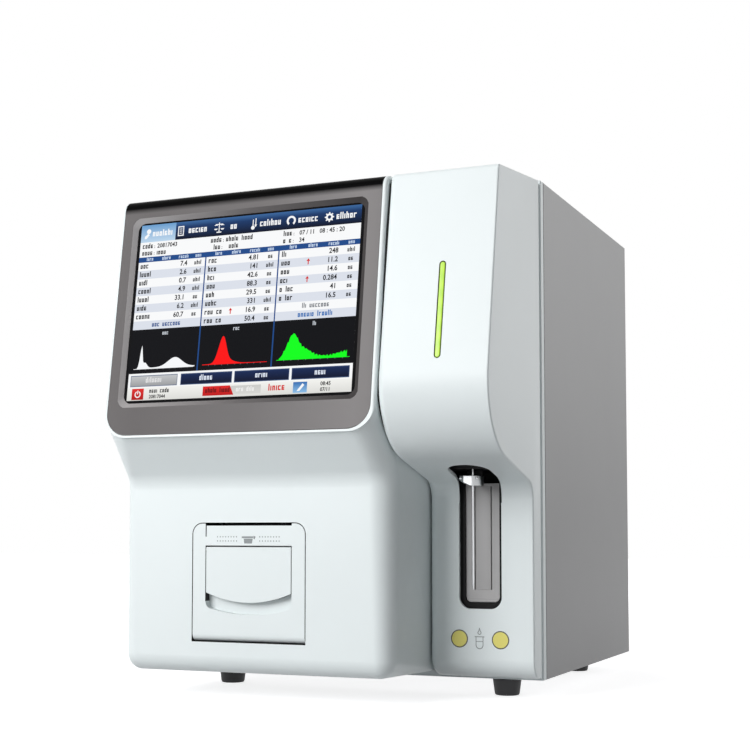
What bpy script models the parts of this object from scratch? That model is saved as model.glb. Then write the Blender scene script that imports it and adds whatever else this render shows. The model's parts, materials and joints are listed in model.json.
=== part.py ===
"""Bench blood analyzer: a box case with a tilted touch screen and a receipt printer on the left of its
front, and a sampling tower with a needle in front of a slot on the right. Metres, +Z up, the front faces -Y,
and the origin is under the middle of the case on the surface that it stands on."""

import math

import bmesh
import bpy
from mathutils import Matrix, Vector

MM = 0.001
DEG = math.radians(1)

# Clearances and overruns
SEAT_GAP = 0.3 * MM
CUT_OVERRUN = 6 * MM
JOIN_OVERLAP = 0.5 * MM
ARC_STEP = 15 * DEG
FINE_ARC_STEP = 10 * DEG
ROUND_SIDES = 20
SMALL_SIDES = 12
EDGE_STEPS = 6
SHARP_ANGLE = 35 * DEG

# Case
WIDTH = 345.5 * MM
CASE_DEPTH = 310 * MM
CASE_HEIGHT = 429 * MM
FOOT_HEIGHT = 15 * MM
FRONT_REACH = 155.5 * MM
PANEL_THICKNESS = 2 * MM
PANEL_EDGE_RADIUS = 0.6 * MM
REAR_RECESS = 18 * MM
TRAY_LIP_HEIGHT = 14 * MM
BULKHEAD_SHARE = 0.42
BULKHEAD_TOP_DROP = 26 * MM
STANDOFF_RADIUS = 3 * MM
STANDOFF_LENGTH = 6 * MM

# White frame between the front covers and the case
STRIP_DEPTH = 8.6 * MM
GROOVE_WIDTH = 6.1 * MM
GROOVE_DEPTH = 1.5 * MM
STRIP_RING_WIDTH = 12 * MM
NECK_BOTTOM = 4 * MM
NECK_TOP_DROP = 3 * MM

# Front covers
COVER_REAR = 15 * MM
COVER_WALL = 3 * MM
COVER_TOP_DROP = 2 * MM
TOP_SLOPE = 0.102
HEAD_SLOPE = 0.14
RIM_HEIGHT = 205.2 * MM
TOWER_SLOPE = 0.18
TOWER_REACH = 161 * MM
TOWER_REACH_HEIGHT = 204.4 * MM
TOWER_WIDTH = 92.6 * MM
TOWER_GAP = 1.6 * MM
TOWER_BOTTOM = 2.9 * MM
TOWER_RECESS = 36 * MM
TOWER_TOP_RADIUS = 4 * MM
TOWER_NOSE_RADIUS = 60 * MM
TOWER_CROOK_RADIUS = 16 * MM
TOWER_SOLE_RADIUS = 16 * MM
TOWER_LEFT_EDGE = 7 * MM
TOWER_RIGHT_EDGE = 1.5 * MM
UNDERSIDE_HEIGHT = 165.1 * MM
UNDERSIDE_SLOPE = 0.2595
BODY_REACH = 120.2 * MM
BODY_BOTTOM = 6.4 * MM
KNEE_HEIGHT = 169.2 * MM
KNEE_RADIUS = 20 * MM
BODY_SOLE_RADIUS = 15 * MM
BODY_LEFT_EDGE = 12 * MM
BODY_RIGHT_EDGE = 19 * MM
HEAD_EDGE = 3 * MM
HEAD_TOP_RADIUS = 12 * MM

# Screen
RIM_LEFT = 2.7 * MM
RIM_RIGHT = 3.8 * MM
RIM_BOTTOM = 2.1 * MM
RIM_RISE = 3 * MM
RIM_CORNER = 22 * MM
RIM_EDGE = 2 * MM
BEZEL_THICKNESS = 3 * MM
BEZEL_RETURN = 22 * MM
BEZEL_LEFT = 9.2 * MM
BEZEL_RIGHT = 11.5 * MM
BEZEL_BOTTOM = 26.2 * MM
BEZEL_TOP = 15.5 * MM
BEZEL_SLANT = 5.5 * MM
BEZEL_REAR_CORNER = 8 * MM
BEZEL_WINDOW_CORNER = 7 * MM
GLASS_THICKNESS = 1.8 * MM
GLASS_LAP = 2 * MM
LCD_THICKNESS = 7 * MM
LCD_LAP = 3 * MM
BRACKET_THICKNESS = 2 * MM
BRACKET_LAP = 3 * MM
BRACKET_BOSS_RADIUS = 2.2 * MM
BRACKET_BOSS_INSET = 8 * MM

# Light bar
LIGHT_FROM_RIGHT = 42.4 * MM
LIGHT_WIDTH = 5.7 * MM
LIGHT_FOOT_SHARE = 0.945
LIGHT_LENGTH_SHARE = 0.5058
LIGHT_FLANGE = 2 * MM
LIGHT_FLANGE_THICKNESS = 1.5 * MM
LED_BOARD_MARGIN = 3 * MM
LED_BOARD_THICKNESS = 1.6 * MM
LED_SIZE = 3 * MM
LED_RISE = 1 * MM
LED_COUNT = 6

# Sampling slot
SLOT_FROM_RIGHT = 47 * MM
SLOT_WIDTH = 37.8 * MM
SLOT_BOTTOM = 60.8 * MM
SLOT_CORNER = 10 * MM
MOUTH_REACH = 92.2 * MM
MOUTH_NECK_REACH = 58 * MM
MOUTH_LEFT = 13.5 * MM
MOUTH_RIGHT = 22.8 * MM
MOUTH_CORNER = 17 * MM
MOUTH_HEIGHT = 26 * MM
MOUTH_DROP = 15 * MM
LINER_SETBACK = 6 * MM
LINER_FLANGE = 2 * MM
LINER_SIDE_MARGIN = 3.7 * MM
LINER_BOTTOM_MARGIN = 5.2 * MM
LINER_CORNER = 5 * MM
LINER_WALL = 3 * MM
LINER_BACK = 13 * MM
LINER_TOP = 168 * MM
LINER_BAR_THICKNESS = 3 * MM
LINER_BAR_BOTTOM = 138 * MM
LINER_BAR_TOP = 162 * MM
PLATE_THICKNESS = 2.5 * MM
KEY_WIDTH = 13.6 * MM
KEY_GROOVE = 0.9 * MM
KEY_BOTTOM = 77 * MM
KEY_TOP = 164 * MM
SWITCH_WIDTH = 11 * MM
SWITCH_GAP = 2.4 * MM
SWITCH_HEIGHT = 16 * MM

# Probe
PROBE_REACH = 53.7 * MM
PROBE_RADIUS = 1 * MM
PROBE_TIP_RADIUS = 0.5 * MM
PROBE_TIP_LENGTH = 5 * MM
PROBE_TIP_HEIGHT = 77.5 * MM
PROBE_TAIL = 14 * MM
PROBE_TAIL_RADIUS = 1.8 * MM
PROBE_PLATE_HEIGHT = 178 * MM
PROBE_PLATE_THICKNESS = 3 * MM
PROBE_PLATE_REACH = 64 * MM
PROBE_PLATE_WIDTH = 66 * MM
PROBE_BACK = 7 * MM
PROBE_TOP_DROP = 41 * MM
ROD_RADIUS = 3 * MM
ROD_SPREAD = 15.5 * MM
ROD_REACH = 14 * MM
SCREW_RADIUS = 4 * MM
SCREW_ROOT_RADIUS = 3.4 * MM
SCREW_FLAT_LENGTH = 12 * MM
PROBE_MOTOR_SIZE = 42 * MM
PROBE_MOTOR_HEIGHT = 28 * MM
PROBE_MOTOR_CHAMFER = 4 * MM
CARRIAGE_BOTTOM = 190 * MM
CARRIAGE_HEIGHT = 25 * MM
CARRIAGE_WIDTH = 43 * MM
CARRIAGE_REACH = 59 * MM
CARRIAGE_NEAR = 5 * MM
CARRIAGE_NOSE_WIDTH = 16 * MM
CARRIAGE_SLIDE_GAP = 0.3 * MM
WIPE_RIGHT = 7.6 * MM
WIPE_LEFT = 10.4 * MM
WIPE_BOTTOM = 164 * MM
WIPE_HEIGHT = 8.4 * MM
WIPE_TONGUE = 4 * MM
WIPE_NOSE = 7 * MM
WIPE_TAIL = 9 * MM
WIPE_STEM = 4 * MM
WIPE_EDGE = 0.8 * MM

# Printer
PRINTER_SHARE = 0.486
DOOR_WIDTH = 105.8 * MM
DOOR_BOTTOM = 33.6 * MM
DOOR_HEIGHT = 99.1 * MM
DOOR_CORNER = 9 * MM
DOOR_GAP = 0.5 * MM
DOOR_THICKNESS = 4 * MM
DOOR_BARREL_RADIUS = 5.7 * MM
DOOR_PIN_RADIUS = 1.2 * MM
DOOR_LIP_WIDTH = 81.6 * MM
PAPER_SLIT = 1.8 * MM
FLAP_TOP = 114.1 * MM
FLAP_SIDE_BOTTOM = 73.8 * MM
FLAP_SAG = 8.2 * MM
DISH_SIDE_BOTTOM = 62.2 * MM
DISH_SAG = 5.9 * MM
DISH_FLOOR = 1.5 * MM
DISH_DEPTH = 7 * MM
FLAP_GAP = 0.4 * MM
FLAP_TOP_GAP = 0.9 * MM
FLAP_THICKNESS = 3.4 * MM
FLAP_PIVOT_INSET = 1.8 * MM
FLAP_PIVOT_DROP = 3 * MM
FLAP_PIN_RADIUS = 0.8 * MM
FLAP_PIN_LENGTH = 2 * MM
SAG_STEPS = 10
PRINTER_WALL = 2 * MM
PRINTER_FLOOR = 31 * MM
PRINTER_TOP = 135.5 * MM
PRINTER_DEPTH = 70 * MM
ROLL_RADIUS = 25 * MM
ROLL_WIDTH = 57 * MM
ROLL_CORE_RADIUS = 7 * MM
ROLL_SETBACK = 38 * MM
ROLL_HEIGHT = 74 * MM
SPINDLE_RADIUS = 6.7 * MM
PLATEN_RADIUS = 5 * MM
PLATEN_WIDTH = 58 * MM
PLATEN_SHAFT_RADIUS = 2 * MM
PLATEN_SETBACK = 11.2 * MM
PLATEN_HEIGHT = 123 * MM
EAR_THICKNESS = 3 * MM
EAR_REACH = 16 * MM
EAR_TOP = 128 * MM
EAR_BOTTOM = 115.4 * MM
GEAR_RADIUS = 6.4 * MM
GEAR_ROOT_RADIUS = 5.2 * MM
GEAR_WIDTH = 3.5 * MM
GEAR_TEETH = 14
GEAR_ROOT_SHARE = 0.3
GEAR_TIP_SHARES = (0.45, 0.8)
HEAD_BLOCK_DEPTH = 7 * MM
HEAD_BLOCK_WIDTH = 64 * MM
HEAD_BLOCK_BOTTOM = 112 * MM

# Rear
INLET_FROM_RIGHT = 70 * MM
INLET_HEIGHT = 66 * MM
INLET_FLANGE_WIDTH = 58 * MM
INLET_FLANGE_HEIGHT = 32 * MM
INLET_FLANGE_THICKNESS = 2.5 * MM
INLET_BODY_WIDTH = 50 * MM
INLET_BODY_HEIGHT = 28 * MM
INLET_BODY_DEPTH = 26 * MM
SOCKET_WIDTH = 24.5 * MM
SOCKET_HEIGHT = 16.5 * MM
SOCKET_DEPTH = 17 * MM
SOCKET_CORNER = 4 * MM
SOCKET_OFFSET = 10 * MM
CONTACT_WIDTH = 2 * MM
CONTACT_HEIGHT = 4 * MM
CONTACT_LENGTH = 13 * MM
CONTACT_SPREAD = 7 * MM
CONTACT_DROP = 2 * MM
CONTACT_RISE = 2.5 * MM
ROCKER_OFFSET = 15 * MM
ROCKER_WIDTH = 12 * MM
ROCKER_HEIGHT = 20 * MM
ROCKER_SWING_GAP = 1.3 * MM
ROCKER_PIT_DEPTH = 14 * MM
ROCKER_NECK_RADIUS = 3 * MM
ROCKER_PIN_RADIUS = 1.2 * MM
ROCKER_PIN_LENGTH = 1.5 * MM
ROCKER_PIVOT_DEPTH = 6 * MM
ROCKER_TILT = 8 * DEG
FAN_FROM_RIGHT = 262 * MM
FAN_TOP_DROP = 100 * MM
FAN_SIZE = 80 * MM
FAN_DEPTH = 25 * MM
FAN_CORNER = 6 * MM
FAN_BORE_RADIUS = 37.5 * MM
FAN_HUB_RADIUS = 16 * MM
FAN_STRUT_INSET = 2 * MM
FAN_STRUT_WIDTH = 5 * MM
FAN_STRUT_DEPTH = 3 * MM
FAN_PIN_RADIUS = 1.5 * MM
FAN_TIP_GAP = 1.2 * MM
FAN_BLADES = 7
FAN_BLADE_THICKNESS = 1.4 * MM
FAN_BLADE_TILT = 38 * DEG
FAN_BLADE_CHORD = 22 * MM
GUARD_RINGS = 3
GUARD_RING_WIDTH = 3 * MM
GUARD_THICKNESS = 1.5 * MM
GUARD_BAR_WIDTH = 4 * MM
PORT_NAMES = ("diluent_port", "lyse_port", "cleaner_port", "waste_port")
PORT_FROM_RIGHT = 200 * MM
PORT_HEIGHT = 96 * MM
PORT_SPACING = 26 * MM
PORT_NECK_RADIUS = 5 * MM
PORT_FLANGE_RADIUS = 8 * MM
PORT_NIPPLE_RADIUS = 3 * MM
PORT_BARB_RADIUS = 3.8 * MM
PORT_BORE_RADIUS = 1.7 * MM
PORT_LENGTH = 14 * MM
PORT_TAIL = 10 * MM
PORT_FLANGE_THICKNESS = 3 * MM
PORT_BORE_DEPTH = 9 * MM
DATA_FROM_RIGHT = 172 * MM
DATA_HEIGHT = 160 * MM
DATA_WIDTH = 74 * MM
DATA_BODY_HEIGHT = 20 * MM
DATA_BODY_DEPTH = 20 * MM
NET_WIDTH = 12 * MM
NET_HEIGHT = 9 * MM
USB_WIDTH = 13 * MM
USB_HEIGHT = 6 * MM
DATA_HOLE_DEPTH = 13 * MM
DATA_HOLE_PITCH = 22 * MM

# Inside
SUPPLY_SIZE = (110 * MM, 92 * MM, 52 * MM)
SUPPLY_FROM_RIGHT = 70 * MM
SUPPLY_EDGE = 2 * MM
BOARD_WIDTH = 190 * MM
BOARD_HEIGHT = 180 * MM
BOARD_THICKNESS = 1.6 * MM
BOARD_FROM_RIGHT = 200 * MM
BOARD_BOTTOM = 130 * MM
BOARD_INSET = 8 * MM
CHIP_SIZE = 28 * MM
CHIP_HEIGHT = 4 * MM
SYRINGE_FROM_RIGHT = 40 * MM
SYRINGE_REACH = 34 * MM
SYRINGE_BLOCK_WIDTH = 40 * MM
SYRINGE_BLOCK_BOTTOM = 84 * MM
SYRINGE_BLOCK_TOP = 196 * MM
SYRINGE_BLOCK_BACK = 8 * MM
SYRINGE_JAW = 8 * MM
BARREL_RADIUS = 9 * MM
BARREL_BORE = 6.5 * MM
BARREL_LENGTH = 74 * MM
PISTON_RADIUS = 6.2 * MM
PISTON_LENGTH = 8 * MM
PLUNGER_RADIUS = 2.5 * MM
PLUNGER_GAP = 0.6 * MM
PLUNGER_BOTTOM = 46 * MM
PLUNGER_TOP_DROP = 6 * MM
SYRINGE_MOTOR_SIZE = 35 * MM
SYRINGE_MOTOR_HEIGHT = 26 * MM
BATH_FROM_RIGHT = 112 * MM
BATH_BOTTOM = 96 * MM
BATH_SIZE = (62 * MM, 34 * MM, 70 * MM)
BATH_WELL_RADIUS = 10 * MM
BATH_WELL_DEPTH = 48 * MM
VALVE_FROM_RIGHT = 226 * MM
VALVE_BOTTOM = 110 * MM
VALVE_SIZE = (120 * MM, 22 * MM, 24 * MM)
VALVE_COUNT = 5
VALVE_RADIUS = 8 * MM
VALVE_LENGTH = 22 * MM
PUMP_FROM_RIGHT = 290 * MM
PUMP_RADIUS = 22 * MM
PUMP_LENGTH = 70 * MM
PUMP_FOOT_WIDTH = 36 * MM
PUMP_SETBACK = 40 * MM
PUMP_HEIGHT = 30 * MM

# Feet
FOOT_FROM_SIDE = 38 * MM
FOOT_FRONT = 8.6 * MM
FOOT_BACK = 241 * MM
FOOT_TOP_RADIUS = 12.5 * MM
FOOT_BOTTOM_RADIUS = 10.8 * MM
FOOT_ROUND = 1.5 * MM

# Places worked out from the sizes
X_RIGHT = WIDTH / 2
X_LEFT = -X_RIGHT
Y_BACK = (CASE_DEPTH + FRONT_REACH) / 2
Y_SEAM = Y_BACK - CASE_DEPTH
Y_FRONT = Y_SEAM - FRONT_REACH
Y_COVER = Y_SEAM - COVER_REAR
Y_BODY = Y_SEAM - BODY_REACH
Y_RECESS = Y_SEAM - TOWER_RECESS
Y_BULKHEAD = Y_SEAM + CASE_DEPTH * BULKHEAD_SHARE
Y_PANEL = Y_BACK - REAR_RECESS
Z_CASE = FOOT_HEIGHT
Z_TOP = Z_CASE + CASE_HEIGHT
Z_RIM = Z_CASE + RIM_HEIGHT
Z_COVER = Z_TOP - COVER_TOP_DROP
X_TOWER = X_RIGHT - TOWER_WIDTH
X_HEAD = X_TOWER - TOWER_GAP
X_SLOT = X_RIGHT - SLOT_FROM_RIGHT
X_PRINTER = X_LEFT + (X_HEAD - X_LEFT) * PRINTER_SHARE
HEAD_FACE = (Y_FRONT, Z_RIM, HEAD_SLOPE)
TOWER_FACE = (Y_SEAM - TOWER_REACH, Z_CASE + TOWER_REACH_HEIGHT, TOWER_SLOPE)
CASE_INSET = PANEL_THICKNESS + SEAT_GAP
Z_FLOOR = Z_CASE + CASE_INSET


def material(name, colour, roughness, metallic=0.0):
    """A plain Principled material."""
    made = bpy.data.materials.new(name)
    made.use_nodes = True
    shader = made.node_tree.nodes["Principled BSDF"]
    shader.inputs["Base Color"].default_value = (*colour, 1.0)
    shader.inputs["Roughness"].default_value = roughness
    shader.inputs["Metallic"].default_value = metallic
    return made


def add_object(name, mesh, finish=None):
    """Puts a mesh in the scene as an object with its finish."""
    mesh.name = name
    made = bpy.data.objects.new(name, mesh)
    bpy.context.scene.collection.objects.link(made)
    if finish:
        mesh.materials.append(finish)
    return made


def mesh_of(work):
    """Turns a bmesh into a triangulated mesh with its faces pointing out."""
    bmesh.ops.remove_doubles(work, verts=work.verts, dist=JOIN_OVERLAP / ROUND_SIDES)
    bmesh.ops.dissolve_degenerate(work, dist=JOIN_OVERLAP / ROUND_SIDES, edges=work.edges)
    bmesh.ops.recalc_face_normals(work, faces=work.faces)
    bmesh.ops.triangulate(work, faces=work.faces)
    mesh = bpy.data.meshes.new("shape")
    work.to_mesh(mesh)
    work.free()
    return mesh


def shade_round(made):
    """Smooth shading that keeps the hard edges."""
    made.data.shade_smooth()
    made.data.set_sharp_from_angle(angle=SHARP_ANGLE)
    return made


def box(name, low, high, finish=None, edge=0.0):
    """A block between two corners, with its edges bevelled where an edge size is given."""
    work = bmesh.new()
    bmesh.ops.create_cube(work, size=1)
    centre = (Vector(low) + Vector(high)) / 2
    size = Vector(high) - Vector(low)
    bmesh.ops.scale(work, vec=size, verts=work.verts)
    bmesh.ops.translate(work, vec=centre, verts=work.verts)
    if edge:
        bmesh.ops.bevel(work, geom=work.edges, offset=edge, segments=1, affect="EDGES")
    return add_object(name, mesh_of(work), finish)


def to_world(axis, across, up, along):
    """A point of an outline: across and up lie in the outline's plane, along runs square to it."""
    if axis == "X":
        return Vector((along, across, up))
    if axis == "Y":
        return Vector((across, along, up))
    return Vector((across, up, along))


def lofted(name, rings, finish=None):
    """A closed solid through rings of points, with the first and the last ring filled."""
    work = bmesh.new()
    rows = [[work.verts.new(place) for place in ring] for ring in rings]
    work.faces.new(rows[0])
    work.faces.new(rows[-1])
    for first, second in zip(rows, rows[1:]):
        for index in range(len(first)):
            after = (index + 1) % len(first)
            work.faces.new((first[index], first[after], second[after], second[index]))
    return add_object(name, mesh_of(work), finish)


def prism(name, outline, axis, start, end, finish=None):
    """An outline pushed along an axis, from start to end."""
    rings = [[to_world(axis, across, up, along) for across, up in outline] for along in (start, end)]
    return lofted(name, rings, finish)


def turned(name, profile, axis, centre, finish=None, sides=ROUND_SIDES):
    """A closed profile of (radius, distance along the axis) turned about the axis through centre."""
    work = bmesh.new()
    rings = []
    for radius, along in profile:
        ring = []
        for step in range(sides):
            angle = 2 * math.pi * step / sides
            across = radius * math.cos(angle)
            up = radius * math.sin(angle)
            ring.append(work.verts.new(Vector(centre) + to_world(axis, across, up, along)))
        rings.append(ring)
    for index, second in enumerate(rings):
        first = rings[index - 1]
        if profile[index - 1][0] == 0 and profile[index][0] == 0:
            continue
        for step in range(sides):
            after = (step + 1) % sides
            work.faces.new((first[step], first[after], second[after], second[step]))
    return shade_round(add_object(name, mesh_of(work), finish))


def rod(name, axis, centre, radius, start, end, finish=None, sides=ROUND_SIDES):
    """A plain round bar: centre gives the axis, start and end its reach along it."""
    return turned(name, [(0, start), (radius, start), (radius, end), (0, end)], axis, centre, finish, sides)


def combine(target, other, operation):
    """A live Boolean of target with a helper that isn't part of the model."""
    step = target.modifiers.new(operation.lower(), "BOOLEAN")
    step.operation = operation
    step.solver = "EXACT"
    step.use_self = True
    step.object = other
    other.hide_render = True
    other.display_type = "WIRE"
    return target


def cut(target, other):
    return combine(target, other, "DIFFERENCE")


def fuse(target, other):
    return combine(target, other, "UNION")


def common(target, other):
    return combine(target, other, "INTERSECT")


def set_origin(made, origin):
    """Moves an object's origin to a joint's axis and leaves its shape where it is."""
    made.data.transform(Matrix.Translation(-Vector(origin)))
    made.location = origin
    return made


def winding(places):
    """1 for a polygon that runs anticlockwise, -1 for one that runs clockwise."""
    area = sum(place.cross(places[index - len(places) + 1]) for index, place in enumerate(places))
    return 1 if area > 0 else -1


def mitre(back, onward, side):
    """The way in at a sharp corner, long enough to move both of its sides in by one unit."""
    first = Vector((back.y, -back.x)).normalized() * side
    second = Vector((-onward.y, onward.x)).normalized() * side
    return (first + second) / (1 + first.dot(second))


def rounded(corners, step=ARC_STEP):
    """Points of a polygon whose corners (across, up, radius, left edge, right edge, way in) are rounded.
    Each point also gets the way in and the two edge sizes, for the covers' rounded sides."""
    count = len(corners)
    places = [Vector(corner[:2]) for corner in corners]
    side = winding(places)
    points = []
    for index, corner in enumerate(corners):
        here = places[index]
        back = places[index - 1] - here
        onward = places[(index + 1) % count] - here
        radius = corner[2]
        edges = tuple(corner[3:5]) if len(corner) > 4 else (0, 0)
        inner_angle = back.angle(onward)
        reach = radius / math.tan(inner_angle / 2)
        if reach == 0:
            inward = Vector(corner[5]) if len(corner) > 5 else mitre(back, onward, side)
            points.append((here.x, here.y, inward, edges))
            continue
        middle = here + (back.normalized() + onward.normalized()).normalized() * (
            radius / math.sin(inner_angle / 2)
        )
        first = here + back.normalized() * reach - middle
        turn = first.angle_signed(here + onward.normalized() * reach - middle)
        parts = max(1, math.ceil(abs(turn) / step - JOIN_OVERLAP))
        convex = back.cross(onward) * side < 0
        for part in range(parts + 1):
            spoke = Matrix.Rotation(-turn * part / parts, 2) @ first
            place = middle + spoke
            inward = -spoke.normalized() if convex else spoke.normalized()
            points.append((place.x, place.y, inward, edges))
    return points


def outline_of(corners, step=ARC_STEP):
    return [(point[0], point[1]) for point in rounded(corners, step)]


def round_box(low, high, radius):
    """Corners of an upright rectangle with one corner radius."""
    return [
        (low[0], low[1], radius),
        (high[0], low[1], radius),
        (high[0], high[1], radius),
        (low[0], high[1], radius),
    ]


def pillow(name, corners, left, right, finish=None):
    """A side profile pushed along X, whose ends are rounded by each corner's own edge sizes."""
    points = rounded(corners, FINE_ARC_STEP)
    angles = [math.pi / 2 * step / EDGE_STEPS for step in range(EDGE_STEPS + 1)]
    rings = []
    for side, end, inward_x, order in ((0, left, 1, angles), (1, right, -1, angles[::-1])):
        for angle in order:
            ring = []
            for across, up, inward, edges in points:
                pull = edges[side] * (1 - math.sin(angle))
                x = end + inward_x * edges[side] * (1 - math.cos(angle))
                ring.append((x, across + inward.x * pull, up + inward.y * pull))
            rings.append(ring)
    return shade_round(lofted(name, rings, finish))


def inset(corners, walls):
    """The same polygon with each edge moved in by its wall; walls[i] is for the edge after corner i."""
    count = len(corners)
    places = [Vector(corner[:2]) for corner in corners]
    side = winding(places)
    lines = []
    for index in range(count):
        along = (places[(index + 1) % count] - places[index]).normalized()
        normal = Vector((-along.y, along.x)) * side
        lines.append((places[index] + normal * walls[index], along))
    made = []
    for index in range(count):
        place_a, along_a = lines[index - 1]
        place_b, along_b = lines[index]
        share = (place_b - place_a).cross(along_b) / along_a.cross(along_b)
        place = place_a + along_a * share
        back = places[index - 1] - places[index]
        onward = places[(index + 1) % count] - places[index]
        convex = back.cross(onward) * side < 0
        wall = min(walls[index - 1], walls[index])
        radius = corners[index][2]
        if radius:
            radius = max(radius - wall, 0) if convex else radius + wall
        edges = [max(edge - COVER_WALL, 0) for edge in corners[index][3:5]]
        made.append((place.x, place.y, radius, *edges, *corners[index][5:]))
    return made


def face_place(face, up, depth=0.0):
    """(y, z) of a point of a tilted face (y, z, slope): up runs along it, depth goes in."""
    tilt = math.atan(face[2])
    y = face[0] + up * math.sin(tilt) + depth * math.cos(tilt)
    z = face[1] + up * math.cos(tilt) - depth * math.sin(tilt)
    return y, z


def face_y(face, z, depth=0.0):
    """y of a tilted face at a height, or of a plane that lies depth behind it."""
    return face[0] + (z - face[1]) * face[2] + depth / math.cos(math.atan(face[2]))


def face_up(face, z):
    """How far up along a tilted face a height is."""
    return (z - face[1]) / math.cos(math.atan(face[2]))


def top_z(y):
    """Height of the front covers' sloping top."""
    return Z_COVER + (y - Y_COVER) * TOP_SLOPE


def face_top(face, depth=0.0):
    """The corner where a tilted face and the sloping top would meet, both moved in by depth."""
    y_foot = face_y(face, 0, depth)
    z = (Z_COVER - depth + (y_foot - Y_COVER) * TOP_SLOPE) / (1 - face[2] * TOP_SLOPE)
    return face_y(face, z, depth), z


def face_ring(face, outline, depth):
    return [(x, *face_place(face, up, depth)) for x, up in outline]


def on_face(name, face, outline, depth_front, depth_back, finish=None):
    """A prism whose outline (x, up along the face) lies in a tilted face, between two depths."""
    return lofted(
        name, [face_ring(face, outline, depth_front), face_ring(face, outline, depth_back)], finish
    )


WHITE = ("white_plastic", (0.86, 0.9, 0.92), 0.42)
GREY_PAINT = ("grey_paint", (0.3, 0.3, 0.3), 0.5)
BEZEL_GREY = ("bezel_grey", (0.24, 0.22, 0.22), 0.45)
BLACK = ("black_plastic", (0.015, 0.015, 0.016), 0.5)
STEEL = ("steel", (0.62, 0.63, 0.64), 0.35, 1.0)
BRIGHT = ("bright_steel", (0.75, 0.75, 0.76), 0.2, 1.0)
PLATE_GREY = ("plate_grey", (0.38, 0.37, 0.36), 0.5)
RUBBER = ("rubber", (0.02, 0.02, 0.02), 0.85)
GREEN_LENS = ("green_lens", (0.5, 0.95, 0.06), 0.3)
SCREEN = ("screen_glass", (0.05, 0.06, 0.08), 0.15)
BOARD_GREEN = ("board_green", (0.02, 0.22, 0.09), 0.5)
PAPER = ("paper", (0.9, 0.9, 0.87), 0.9)
CLEAR = ("clear_plastic", (0.8, 0.85, 0.87), 0.15)
ALUMINIUM = ("aluminium", (0.68, 0.69, 0.7), 0.35, 1.0)
FINISHES = {}


def finish_of(kind):
    if kind[0] not in FINISHES:
        FINISHES[kind[0]] = material(*kind)
    return FINISHES[kind[0]]


def case_box(name, left, right, low_y, high_y, low_z, high_z, kind, edge=0.0):
    return box(name, (left, low_y, low_z), (right, high_y, high_z), finish_of(kind), edge)


def helper_box(low, high):
    return box("cutter", low, high)


# Case


def make_front_frame():
    outer = case_box(
        "front_frame",
        X_LEFT,
        X_RIGHT,
        Y_SEAM - STRIP_DEPTH,
        Y_SEAM,
        Z_CASE,
        Z_TOP,
        WHITE,
        PANEL_EDGE_RADIUS,
    )
    neck_low = (X_LEFT + GROOVE_DEPTH, Y_SEAM - STRIP_DEPTH - GROOVE_WIDTH, Z_CASE + NECK_BOTTOM)
    neck_high = (X_RIGHT - GROOVE_DEPTH, Y_SEAM - JOIN_OVERLAP, Z_COVER - NECK_TOP_DROP + GROOVE_DEPTH)
    fuse(outer, helper_box(neck_low, neck_high))
    low = (X_LEFT + STRIP_RING_WIDTH, Y_COVER - CUT_OVERRUN, Z_CASE + STRIP_RING_WIDTH)
    high = (X_RIGHT - STRIP_RING_WIDTH, Y_SEAM + CUT_OVERRUN, Z_TOP - STRIP_RING_WIDTH)
    cut(outer, helper_box(low, high))


def make_panels():
    front = Y_SEAM + SEAT_GAP
    for name, outer, inner in (
        ("side_panel_right", X_RIGHT, X_RIGHT - PANEL_THICKNESS),
        ("side_panel_left", X_LEFT, X_LEFT + PANEL_THICKNESS),
    ):
        low, high = sorted((outer, inner))
        case_box(name, low, high, front, Y_BACK, Z_CASE, Z_TOP, GREY_PAINT, PANEL_EDGE_RADIUS)
    left = X_LEFT + CASE_INSET
    right = X_RIGHT - CASE_INSET
    case_box(
        "top_cover",
        left,
        right,
        front,
        Y_BACK,
        Z_TOP - PANEL_THICKNESS,
        Z_TOP,
        GREY_PAINT,
        PANEL_EDGE_RADIUS,
    )
    tray = case_box("base_tray", left, right, front, Y_BACK, Z_CASE, Z_CASE + PANEL_THICKNESS, STEEL)
    lip_low = (left, Y_BACK - PANEL_THICKNESS, Z_CASE)
    fuse(tray, helper_box(lip_low, (right, Y_BACK, Z_CASE + TRAY_LIP_HEIGHT)))


def make_rear_panel():
    left = X_LEFT + CASE_INSET
    right = X_RIGHT - CASE_INSET
    top = Z_TOP - CASE_INSET
    panel = case_box(
        "rear_panel", left, right, Y_PANEL - PANEL_THICKNESS, Y_PANEL, Z_FLOOR, top, GREY_PAINT
    )
    cut(
        panel,
        rod(
            "cutter",
            "Y",
            (fan_x(), 0, fan_z()),
            FAN_BORE_RADIUS,
            Y_PANEL - CUT_OVERRUN,
            Y_PANEL + CUT_OVERRUN,
        ),
    )
    half = INLET_BODY_WIDTH / 2 + SEAT_GAP
    rise = INLET_BODY_HEIGHT / 2 + SEAT_GAP
    x, z = inlet_x(), inlet_z()
    cut(
        panel,
        helper_box(
            (x - half, Y_PANEL - CUT_OVERRUN, z - rise), (x + half, Y_PANEL + CUT_OVERRUN, z + rise)
        ),
    )
    half = DATA_WIDTH / 2 + SEAT_GAP
    rise = DATA_BODY_HEIGHT / 2 + SEAT_GAP
    x = X_RIGHT - DATA_FROM_RIGHT
    z = Z_CASE + DATA_HEIGHT
    cut(
        panel,
        helper_box(
            (x - half, Y_PANEL - CUT_OVERRUN, z - rise), (x + half, Y_PANEL + CUT_OVERRUN, z + rise)
        ),
    )
    for x in port_places():
        hole = rod(
            "cutter",
            "Y",
            (x, 0, Z_CASE + PORT_HEIGHT),
            PORT_NECK_RADIUS + SEAT_GAP,
            Y_PANEL - CUT_OVERRUN,
            Y_PANEL + CUT_OVERRUN,
            sides=SMALL_SIDES,
        )
        cut(panel, hole)


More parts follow.
